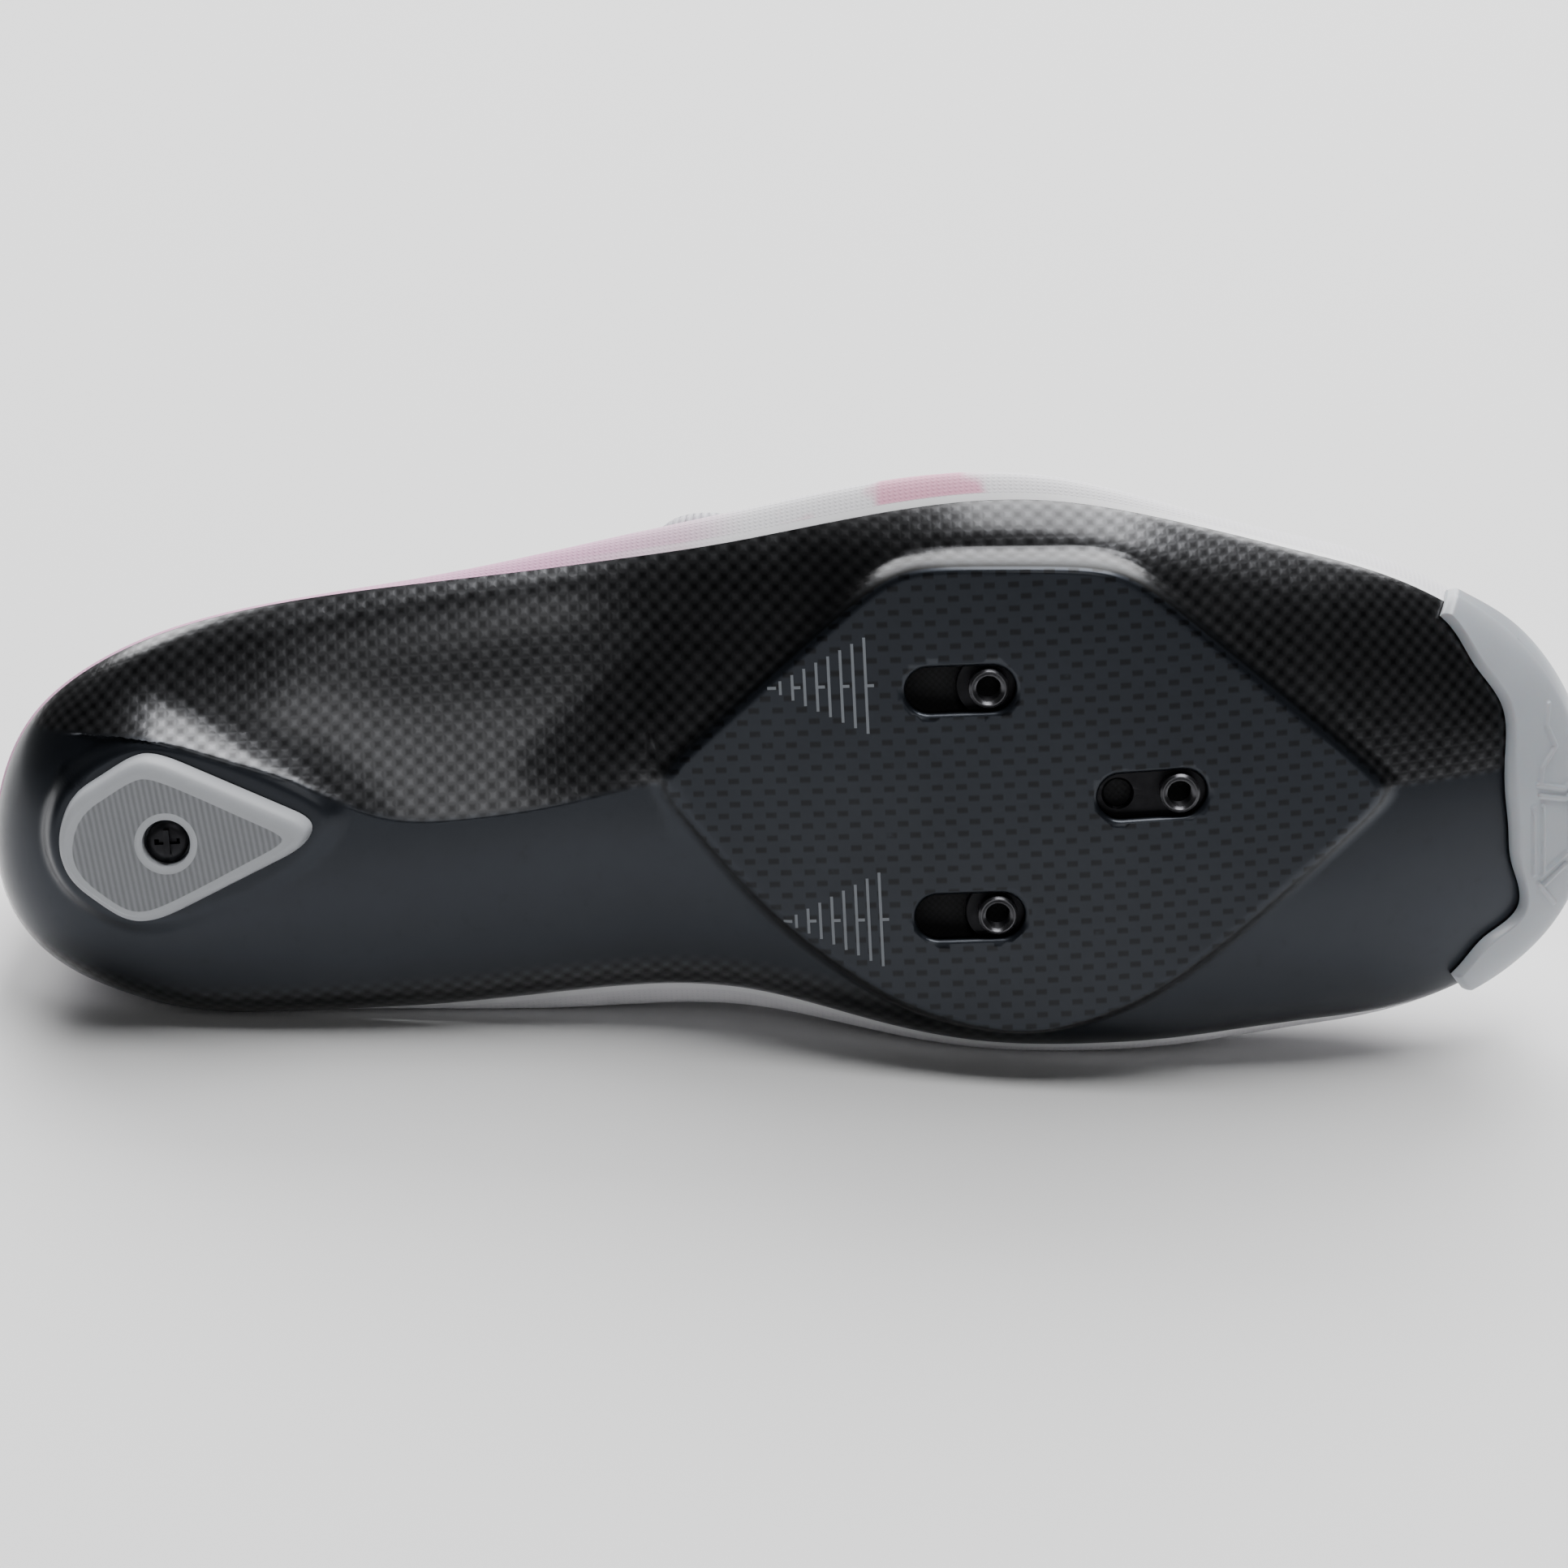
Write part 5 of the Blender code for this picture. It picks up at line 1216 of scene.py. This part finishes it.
# %% [markdown]
# ## Cleat nuts
# Steel nuts take the cleat's bolts. Each is a threaded barrel with a flange, on its own body, so that it slides in
# its slot. Barrel and round flange are turned, and the thread is a step in the bore's profile. Only the front
# flange, a plate with a second hole, needs a boolean.


# %% Cleat nuts
def make_nut(name, x, y, tail):
    """Threaded barrel and flange, both turned. The front flange is a plate with a second hole."""
    front = x + SLOT_FRONT_ROOM
    floor = pocket_level(front) + GAP
    low = float(np.min(plateau_z(np.linspace(front - SLOT_LENGTH, front, 9)))) + NUT_RECESS
    top = floor + FLANGE_THICKNESS
    bevel = 0.0004
    rows = [(NUT_BORE + bevel, low), (NUT_RADIUS - bevel, low)]
    rows += [(NUT_RADIUS, low + bevel), (NUT_RADIUS, top - 0.0001)]
    threads = np.linspace(top - 0.0001, low + bevel, 33)
    depth = 0.00022 * (np.arange(33) % 4 > 1)
    rows += [(NUT_BORE - d, z) for z, d in zip(threads, depth)] + rows[:1]
    ring = make(f"{name}_barrel", [(lathe(rows, 64, (x, y, 0)), True)], STEEL, smooth_angle=30)
    hidden, wide, edge = NUT_RADIUS - 0.0002, FLANGE_RADIUS, 0.0003
    if not tail:
        rows = [(hidden, floor), (wide - edge, floor), (wide, floor + edge), (wide, top - edge)]
        rows += [(wide - edge, top), (hidden, top), (hidden, floor)]
        return make(f"{name}_plate", [(lathe(rows, 64, (x, y, 0)), True)], SHADED_FLANGE_STEEL, smooth_angle=35), ring
    outline = stadium(x - wide - tail, x + wide, y, wide, 32)
    small = inset(outline, edge)
    inside = stack([small, outline, outline, small], (floor, floor + edge, top - edge, top))
    plate = make(f"{name}_plate", [(closed(inside), True)], SHADED_FLANGE_STEEL)
    seat = [(hidden, floor - 0.003), (hidden, 0.03)]
    bore = [(NUT_BORE + 0.0004, floor - 0.003), (NUT_BORE + 0.0004, floor)]
    bore += [(NUT_BORE, floor + 0.0004), (NUT_BORE, 0.03)]
    for hole in (lathe(seat, 48, (x, y, 0)), lathe(bore, 48, (x - tail, y, 0))):
        cut_out(plate, make("bore_cutter", [(closed(hole), True)], None))
    plate.data.set_sharp_from_angle(angle=math.radians(35))
    return plate, ring


for name, x, y, tail in slots():
    body = name.replace("cleat_", "")
    plate, ring = make_nut(name, x, y, tail)
    own(plate, body, "nut_steel", name)
    own(ring, body, "nut_steel")

# %% [markdown]
# ## Upper
# The upper is one hollow shell pulled over the last. Its skin is a grid of sections cut off at collar and throat,
# and the lining is the same grid moved inwards, further along the padded collar. A Solidify modifier could give
# the wall, but not one that thickens, and not the rolled edge that joins both sides.

# %% Upper
UP_ROWS = 84
distance, height = upper_sections(ROUND)
length = section_lengths(distance, height)
ends = edge_lengths(ROUND, distance, height, length)
share = np.linspace(0.0, 1.0, UP_ROWS)[:, None] ** 1.05
at = share * ends
SKIN = walk(ROUND, distance, height, length, at)
OPEN = (np.maximum(along(THROAT, 1, ROUND.rim_x), 0.0) > 0.004) & (ROUND.foot_x < THROAT_END * SHOE_LENGTH)
normal = normals_of(SKIN, True)
away = np.stack([ROUND.out_x, ROUND.out_y, 0.6 + 0 * ROUND.out_x], axis=-1)
if np.mean(np.sum(normal * away, axis=-1)) < 0:
    normal = -normal
flat = ~OPEN
normal[-1, flat] = (0.10, 0.0, 0.995)
near_collar = 1 - smooth(0.34 * SHOE_LENGTH, 0.40 * SHOE_LENGTH, ROUND.rim_x)
padding = 0.0026 * smooth(0.030, 0.010, ends - at) * near_collar
wall = UPPER_WALL + padding
LINED = SKIN - normal * wall[..., None]
first = np.flatnonzero(flat)[-1] + 1
order = (first + np.arange(OPEN.sum())) % len(OPEN)
rim_out, rim_in = SKIN[-1, order], LINED[-1, order]
up = SKIN[-1, order] - SKIN[-2, order]
up = up / np.linalg.norm(up, axis=-1, keepdims=True)
turn = np.linspace(0, math.pi, 9)[:, None, None]
half = (rim_out - rim_in) / 2
EDGE = rim_in + half + half * np.cos(turn) + up * np.linalg.norm(half, axis=-1, keepdims=True) * np.sin(turn)
station = np.concatenate([[0.0], np.cumsum(np.linalg.norm(np.diff(joined(SKIN)[0], axis=0), axis=-1))])
up_to = np.concatenate([at, at[:, :1]], axis=1)
skin_map = np.stack([station + 0 * up_to, up_to], axis=-1)
upper = make("upper_skin", [(joined(SKIN), False)], KNIT, coords=skin_map, smooth_angle=80)
feather = joined(np.stack([SKIN[0], LINED[0]]))
edge_map = skin_map[-1, order] + 0 * EDGE[..., :2]
lining_map = np.concatenate([m.reshape(-1, 2) for m in (skin_map, edge_map, skin_map[:2])])
lining_grids = [(joined(LINED), False), (EDGE, False), (feather, False)]
lining = make("upper_lining", lining_grids, LINING, coords=lining_map, smooth_angle=80)
own(upper, "shoe", "upper_knit", "upper")
own(lining, "shoe", "upper_knit", "upper")

# %% [markdown]
# ## Tongue and insole
# The tongue lies under the throat and is wider than it, and the insole lies in the shell. Both take their form
# from what they touch, the last's crest and the shell's inside, so that they fit without being adjusted.


# %% Tongue and insole
def crest_strip(x, half_width, columns, depth):
    """Points across the crest of the last, sunk under its surface."""
    across = np.linspace(-1.0, 1.0, columns)
    sides = []
    for side in (-1, 1):
        cut = Slices(x, np.full(len(x), side))
        distance, height = upper_sections(cut)
        want = np.abs(across[np.sign(across) == side])[:, None] * half_width[None]
        z = read_off(-distance[LOW_ROWS:], height[LOW_ROWS:], -want)
        px, py = cut.place(want)
        sides.append(np.stack([px, py, z], axis=-1))
    middle = np.stack([x, foot_y(x), along(CREST, 1, x) * INSTEP_HEIGHT + GAP], axis=-1)[None]
    skin = np.concatenate([sides[0], middle, sides[1]]).transpose(1, 0, 2)
    normal = np.cross(np.gradient(skin, axis=0), np.gradient(skin, axis=1))
    normal = normal / np.linalg.norm(normal, axis=-1, keepdims=True)
    return skin - normal * depth, normal


def make_tongue():
    """A strip under the throat, moved in and out by half its thickness along its normals."""
    low = TONGUE_TOP * SHOE_LENGTH
    high = (THROAT_END + 0.03) * SHOE_LENGTH
    x = low + (high - low) * np.linspace(0.0, 1.0, 90) ** 1.4
    gap = np.maximum(along(THROAT, 1, x), 0.0) * THROAT_WIDTH / 2
    rest = np.clip(1 - (x - low) / TONGUE_ROUND, 0.0, 0.96)
    half_width = (gap + TONGUE_OVERLAP) * np.sqrt(1 - rest**2)
    top, normal = crest_strip(x, half_width, 61, UPPER_WALL + 2 * GAP)
    across = np.linspace(-1, 1, 61)
    edge = np.sqrt(np.clip(1 - across**12, 0, 1)) * np.sqrt(np.clip(1 - rest[:, None] ** 30, 0, 1))
    middle = top - normal * TONGUE_THICKNESS / 2
    thick = normal * (TONGUE_THICKNESS / 2 * np.maximum(edge, 0.02))[..., None]
    grids = [(middle + thick, False), (middle - thick, False)]
    border = np.stack([middle - thick, middle + thick])
    sides = [border[:, 0], border[:, -1], border[:, :, 0], border[:, :, -1]]
    grids += [(s, False) for s in sides]
    coords = np.concatenate([g[..., :2].reshape(-1, 2) for g, _ in grids])
    return make("tongue_cloth", grids, TONGUE_CLOTH, coords=coords, smooth_angle=70)


def make_insole():
    """The sole's inside raised by the gap, and again by the insole's thickness."""
    turn = 1 - (1 - np.linspace(0.0, 1.0, 40)[:, None]) ** 1.6
    low = bed_points(ROUND, 0.93 * turn + 0 * ROUND.reach) + (0, 0, GAP)
    high = low + (0, 0, INSOLE_THICKNESS)
    rim = np.stack([low[-1], high[-1]])
    coords = np.concatenate([g[..., :2].reshape(-1, 2) for g in (low, high, rim)])
    return make("footbed", [(low, True), (high, True), (rim, True)], FOOTBED, coords=coords, smooth_angle=70)


tongue = own(make_tongue(), "shoe", "tongue_cloth", "tongue")
insole = own(make_insole(), "shoe", "insole_foam", "insole")

# %% [markdown]
# ## Toe bumper
# A rubber guard runs from under the toe, over the rim, and a little way up the upper. It is the skin of sole and
# upper moved outwards, with a wall that thins to its edges. Thin raised lines on it are in the mesh, because they
# catch the light at its outline.

# %% Toe bumper
# Polylines of the raised lines, in millimetres of the shoe's X and Y
LINES = (
    ((270.0, 6.3), (275.1, 8.0), (278.3, 5.4)),
    ((270.4, 8.3), (275.3, 9.8), (278.3, 7.2)),
    ((269.0, 10.2), (269.0, 22.1)),
    ((270.8, 10.2), (270.8, 22.2)),
    ((276.1, 11.0), (276.1, 19.0)),
    ((277.0, 11.0), (277.0, 19.0)),
    ((270.4, 22.6), (275.4, 19.5)),
    ((270.4, 24.8), (275.1, 21.5), (277.8, 25.3)),
    ((272.4, -6.9), (271.8, -3.6), (273.5, 0.3), (270.8, 3.5), (270.4, 6.0)),
    ((269.9, 24.0), (273.1, 28.1)),
)


def line_height(x, y):
    """1 on the raised lines, 0 beside them."""
    nearest = np.full(np.shape(x), 1.0)
    for line in LINES:
        for (ax, ay), (bx, by) in zip(line, line[1:]):
            ax, ay, bx, by = ax / 1000, ay / 1000, bx / 1000, by / 1000
            size = (bx - ax) ** 2 + (by - ay) ** 2
            share = np.clip(((x - ax) * (bx - ax) + (y - ay) * (by - ay)) / size, 0.0, 1.0)
            nearest = np.minimum(nearest, np.hypot(x - ax - share * (bx - ax), y - ay - share * (by - ay)))
    return 1 - smooth(0.00018, 0.00048, nearest)


def make_bumper():
    """The skin of sole and upper round the toe, moved out by a wall that thins towards its edges."""
    turn = np.radians(np.linspace(90 - BUMPER_ARM_TURN, 90, 181))
    one_way = TOE_CENTRE + turn * TOE_WIDTH / 2
    stations = np.concatenate([one_way, one_way[-2::-1]])
    sides = np.concatenate([-np.ones(181), np.ones(180)])
    ahead = np.concatenate([np.degrees(turn) - 90, 90 - np.degrees(turn)[-2::-1]])
    cut = Slices(stations, sides)
    start = spline(ahead, column(BUMPER_EDGE, 0), column(BUMPER_EDGE, 1))
    under = start + (1 - start) * np.linspace(0.0, 1.0, 60)[:, None]
    low = sole_points(cut, under)
    distance, height = upper_sections(cut)
    length = section_lengths(distance, height)
    fade = smooth(0.0, 0.5, 1 - np.abs(ahead) / BUMPER_ARM_TURN)
    wrap = BUMPER_ARM_WRAP + (BUMPER_WRAP - BUMPER_ARM_WRAP) * fade
    high = walk(cut, distance, height, length, wrap * np.linspace(0.08, 1.0, 30)[:, None])
    skin = np.concatenate([low, high])
    away = normals_of(skin, False)
    if np.mean(away[..., 0]) < 0:
        away = -away
    rows, count = skin.shape[:2]
    row_fade = smooth(0.0, 5.0, np.minimum(np.arange(rows), np.arange(rows)[::-1]).astype(float))[:, None]
    turn_fade = smooth(0.0, 7.0, np.minimum(np.arange(count), np.arange(count)[::-1]).astype(float))[None]
    wall = BUMPER_WALL * (0.30 + 0.70 * np.sqrt(row_fade * turn_fade))
    wall = wall + 0.00045 * line_height(skin[..., 0], skin[..., 1]) * (np.arange(rows) < 72)[:, None]
    inner = skin + away * GAP
    outer = inner + away * wall[..., None]
    grids = [(inner, False), (outer, False)]
    grids += [(np.stack([inner[k], outer[k]]), False) for k in (0, -1)]
    grids += [(np.stack([inner[:, k], outer[:, k]]), False) for k in (0, -1)]
    return make("bumper_rubber", grids, BUMPER_RUBBER, smooth_angle=50)


bumper = own(make_bumper(), "shoe", "bumper_rubber", "toe_bumper")

# %% [markdown]
# ## Places on the last
# What is fastened to the upper stands on its surface and along its normal. Two functions read a point and a
# normal off the sections, one near the crest and one on the lateral side.


# %% Places on the last
def on_last(x, offset, lift):
    """Points above the last's surface and their normals. offset is signed from the crest."""
    x = np.atleast_1d(x).astype(float)
    offset = np.atleast_1d(offset).astype(float) + 0 * x
    side = np.where(offset < 0, -1.0, 1.0)

    def surface(px, off):
        cut = Slices(px, side)
        distance, height = upper_sections(cut)
        z = read_off(-distance[LOW_ROWS:], height[LOW_ROWS:], -np.abs(off)[None])
        qx, qy = cut.place(np.abs(off)[None])
        return np.stack([qx[0], qy[0], z[0]], axis=-1)

    here = surface(x, offset)
    forward = surface(x + 0.001, offset) - surface(x - 0.001, offset)
    outward = surface(x, offset + side * 0.0008) - here
    normal = np.cross(forward, outward)
    normal = normal * np.sign(normal[:, 2:3])
    normal = normal / np.linalg.norm(normal, axis=-1, keepdims=True)
    return here + normal * lift, normal, forward / np.linalg.norm(forward, axis=-1, keepdims=True)


def on_side(x, z):
    """A point of the lateral side at a height, its normal and the way ahead."""
    near = np.array([x - 0.003, x, x + 0.003])
    cut = Slices(near, np.full(3, -1.0))
    distance, height = upper_sections(cut)
    places = []
    for level in (z, z + 0.002):
        d = read_off(height, distance, np.full((1, 3), level))[0]
        px, py = cut.place(d)
        places.append(np.stack([px, py, np.full(3, level)], axis=-1))
    ahead = places[0][2] - places[0][0]
    normal = np.cross(places[1][1] - places[0][1], ahead)
    normal = normal / np.linalg.norm(normal) * (-1 if normal[1] > 0 else 1)
    return places[0][1], normal, ahead / np.linalg.norm(ahead)


print("crest over the rear bolts", on_last(BOLT_REAR_X, 0.0, 0.0)[0][0])

# %% [markdown]
# ## Lace dial
# A dial on the lateral side takes the lace in. Seat and knob are turned, and the grip's teeth are a cosine added
# to the radius, so that they need no array of copies.


# %% Lace dial
def make_dial():
    """Seat and knob, both turned. The knob's rim is a cosine of the turn."""
    origin, normal, ahead = on_side(DIAL_X, DIAL_Z)
    axes = np.array([ahead, np.cross(normal, ahead), normal])
    r, h = DIAL_BASE_RADIUS, DIAL_BASE_HEIGHT
    base = [(0, -0.0045), (r, -0.0045), (r, h * 0.55), (r - 0.0006, h * 0.9), (r - 0.0014, h), (0, h)]
    base = make("dial_seat", [(lathe(base, 96, origin, axes), True)], BLACK_PLASTIC, smooth_angle=30)
    r, h, low = DIAL_RADIUS, DIAL_HEIGHT, DIAL_BASE_HEIGHT + GAP
    top = low + h
    rows = [(0, low), (r - 0.0006, low), (r, low + 0.0005), (r, low + h * 0.35), (r, low + h * 0.70)]
    rows += [(r - 0.0003, low + h * 0.86), (r - 0.0012, top), (r * 0.72, top), (r * 0.68, top - 0.0005)]
    rows += [(r * 0.62, top - 0.0005), (r * 0.58, top - 0.0001), (r * 0.3, top + 0.0001), (0, top + 0.0001)]

    def knurl(turn, row):
        tooth = np.abs(np.cos(turn * DIAL_TEETH / 2)) ** 0.7 - 1
        return DIAL_TOOTH * 1.3 * tooth * ((row >= 2) & (row <= 5))

    turned = lathe(rows, DIAL_TEETH * 8, origin, axes, knurl)
    knob = make("dial_cap", [(turned, True)], DIAL_GREY, smooth_angle=30)
    return base, knob


base, knob = make_dial()
own(base, "shoe", "guide_plastic", "dial_base")
own(knob, "shoe", "dial_grey", "dial_knob")

# %% [markdown]
# ## Lace
# One thin cord runs from guide to guide across the tongue. Its route is a few points on the upper, smoothed by
# averaging neighbours, and a tube is swept along it. Both ends stop inside guides.


# %% Lace
def throat_edge(x):
    """Half the throat's width at a place."""
    return float(np.maximum(along(THROAT, 1, x), 0.0) * THROAT_WIDTH / 2)


def lace_route():
    """From guide to guide across the tongue, with a turn in each guide."""
    knots = []
    for share, side in GUIDES:
        x = share * SHOE_LENGTH
        edge = throat_edge(x) + GUIDE_SET_BACK
        for step, out in ((-1.0, -0.9), (-0.8, 0.4), (0.0, 1.0), (0.8, 0.4), (1.0, -0.9)):
            point, _, _ = on_last(x + step * LACE_TURN, side * (edge + out * LACE_TURN), LACE_LIFT)
            knots.append(point[0])
        knots.append(None)
    made = []
    for i, point in enumerate(knots[:-1]):
        if point is None:
            before, after = knots[i - 1], knots[i + 1]
            for share in (0.3, 0.7):
                middle = before + (after - before) * share
                over, _, _ = on_last(middle[0], middle[1] - float(foot_y(middle[0])), LACE_LIFT)
                made.append(np.array([middle[0], middle[1], max(middle[2], over[0, 2])]))
        else:
            made.append(point)
    return np.array(made)


def tube(points, radius, sides=12):
    """Rings round a path: radius * (side * cos + up * sin)."""
    tangent = np.gradient(points, axis=0)
    tangent = tangent / np.linalg.norm(tangent, axis=-1, keepdims=True)
    side = np.cross(tangent, (0.0, 0.25, 1.0))
    side = side / np.linalg.norm(side, axis=-1, keepdims=True)
    up = np.cross(side, tangent)
    turn = np.linspace(0, 2 * math.pi, sides, endpoint=False)[None, :, None]
    return points[:, None] + radius * (side[:, None] * np.cos(turn) + up[:, None] * np.sin(turn))


def make_lace():
    """A tube round the route, after its corners are averaged away."""
    knots = lace_route()
    reach = np.concatenate([[0.0], np.cumsum(np.linalg.norm(np.diff(knots, axis=0), axis=-1))])
    fine = np.linspace(0, reach[-1], 500)
    path = np.stack([np.interp(fine, reach, knots[:, k]) for k in range(3)], axis=-1)
    for _ in range(6):
        path[1:-1] = (path[:-2] + 2 * path[1:-1] + path[2:]) / 4
    rings = closed(tube(path, LACE_RADIUS))
    turn = np.arange(12) / 12 * 0.005
    coords = np.stack([np.r_[0, fine, fine[-1]][:, None] + 0 * turn, turn + np.zeros((502, 1))], axis=-1)
    return make("lace_line", [(rings, True)], CORD, coords=coords, smooth_angle=80)


lace = own(make_lace(), "shoe", "lace_cord", "lace")

# %% [markdown]
# ## Lace guides
# Five low blocks beside the throat carry the cord. They are one piece here, because they share a finish and none
# of them moves, and it stands for all five solids.


# %% Lace guides
def make_guide(share, side):
    """A low rounded block on the facing, as a stack of inset outlines."""
    x = share * SHOE_LENGTH
    edge = throat_edge(x) + GUIDE_SET_BACK + GUIDE_WIDTH / 4
    origin, normal, ahead = on_last(x, side * edge, 0.0)
    axes = np.array([ahead[0], np.cross(normal[0], ahead[0]), normal[0]])
    box = np.array([(-1, -1), (1, -1), (1, 1), (-1, 1)]) / 2 * (GUIDE_LENGTH, GUIDE_WIDTH)
    outline = rounded(box, 0.002, 8)
    high = GUIDE_HEIGHT
    steps = ((0.0, -0.0012), (0.0, high * 0.55), (0.0003, high * 0.8), (0.0008, high * 0.95), (0.0014, high))
    rings = closed(stack([inset(outline, a) for a, _ in steps], [z for _, z in steps]))
    return rings @ axes + origin[0]


guides = make("guide_blocks", [(make_guide(s, k), True) for s, k in GUIDES], BLACK_PLASTIC, smooth_angle=50)
own(guides, "shoe", "guide_plastic", *[n for n in NODES if n.startswith("lace_guide")])

# %% [markdown]
# ## Stage
# A pale floor and three soft lights: a long one overhead, one behind the shoe and a weak one on the camera's
# side. A glossy shell shows the lights themselves, so they are placed where the sole mirrors them to the camera.


# %% Stage
def floor_finish():
    made = Finish("floor", Roughness=0.55)
    cloud = made.noise(900.0, 1.0)
    made.link("Base Color", cloud.mix((0.70, 0.70, 0.705), (0.72, 0.72, 0.72)))
    return made.material


def area_light(name, spot, target, size, size_y, power, tint=(1, 1, 1)):
    light = bpy.data.lights.new(name, "AREA")
    light.shape = "RECTANGLE"
    light.size = size
    light.size_y = size_y
    light.energy = power
    light.color = tint
    made = bpy.data.objects.new(name, light)
    bpy.context.scene.collection.objects.link(made)
    made.location = spot
    made.rotation_mode = "QUATERNION"
    made.rotation_quaternion = (Vector(target) - Vector(spot)).to_track_quat("-Z", "Y")
    return made


FLOOR_HALF = 6.0
corners = [(x * FLOOR_HALF, y * FLOOR_HALF, 0) for x, y in ((-1, -1), (1, -1), (1, 1), (-1, 1))]
mesh = bpy.data.meshes.new("floor")
mesh.from_pydata(corners, [], [(0, 1, 2, 3)])
mesh.materials.append(floor_finish())
floor = bpy.data.objects.new("floor", mesh)
bpy.context.scene.collection.objects.link(floor)

world = bpy.data.worlds.new("studio")
world.use_nodes = True
world.node_tree.nodes["Background"].inputs["Color"].default_value = (0.86, 0.88, 0.92, 1.0)
world.node_tree.nodes["Background"].inputs["Strength"].default_value = 0.02
bpy.context.scene.world = world
top_light = area_light("overhead", (0.30, 0.45, 2.0), (0.30, 0.45, 0.0), 1.1, 2.4, 84.0)
back_light = area_light("back", (0.0, 2.3, 1.7), (0.0, 0.2, 0.0), 3.6, 1.5, 138.0)
front_light = area_light("front", (0.15, -2.0, 1.3), (0.0, 0.0, 0.03), 0.55, 1.3, 5.5)
print("lights", top_light.name, back_light.name, front_light.name)

# %% [markdown]
# ## Camera
# It looks along the tread's normal, 13 degrees off towards the floor, from 746 mm away, and is rolled so that
# the shoe's axis rises to the right as in the photograph. A long lens keeps the perspective as weak as there.

# %% Camera
LOOK_TILT = math.radians(13.0)
LOOK_ROLL = math.radians(3.0)
TARGET = np.array([0.1388, -0.0050, 0.0020])
DISTANCE = 0.7464
forward = np.array([0.0, math.sin(LOOK_TILT), math.cos(LOOK_TILT)])
right = np.array([1.0, 0.0, 0.0])
up = np.array([0.0, -math.cos(LOOK_TILT), math.sin(LOOK_TILT)])
right, up = (
    right * math.cos(LOOK_ROLL) - up * math.sin(LOOK_ROLL),
    right * math.sin(LOOK_ROLL) + up * math.cos(LOOK_ROLL),
)
spot = laid(TARGET - forward * DISTANCE)
frame_axes = np.array([right @ TURN.T, up @ TURN.T, -forward @ TURN.T]).T
pose = Matrix(frame_axes.tolist()).to_4x4()
pose.translation = Vector(spot)
camera_data = bpy.data.cameras.new("camera")
camera_data.lens = 100
camera_data.sensor_width = 36
camera = bpy.data.objects.new("camera", camera_data)
camera.matrix_world = pose
bpy.context.scene.collection.objects.link(camera)
bpy.context.scene.camera = camera
print("camera at", np.round(spot, 3))
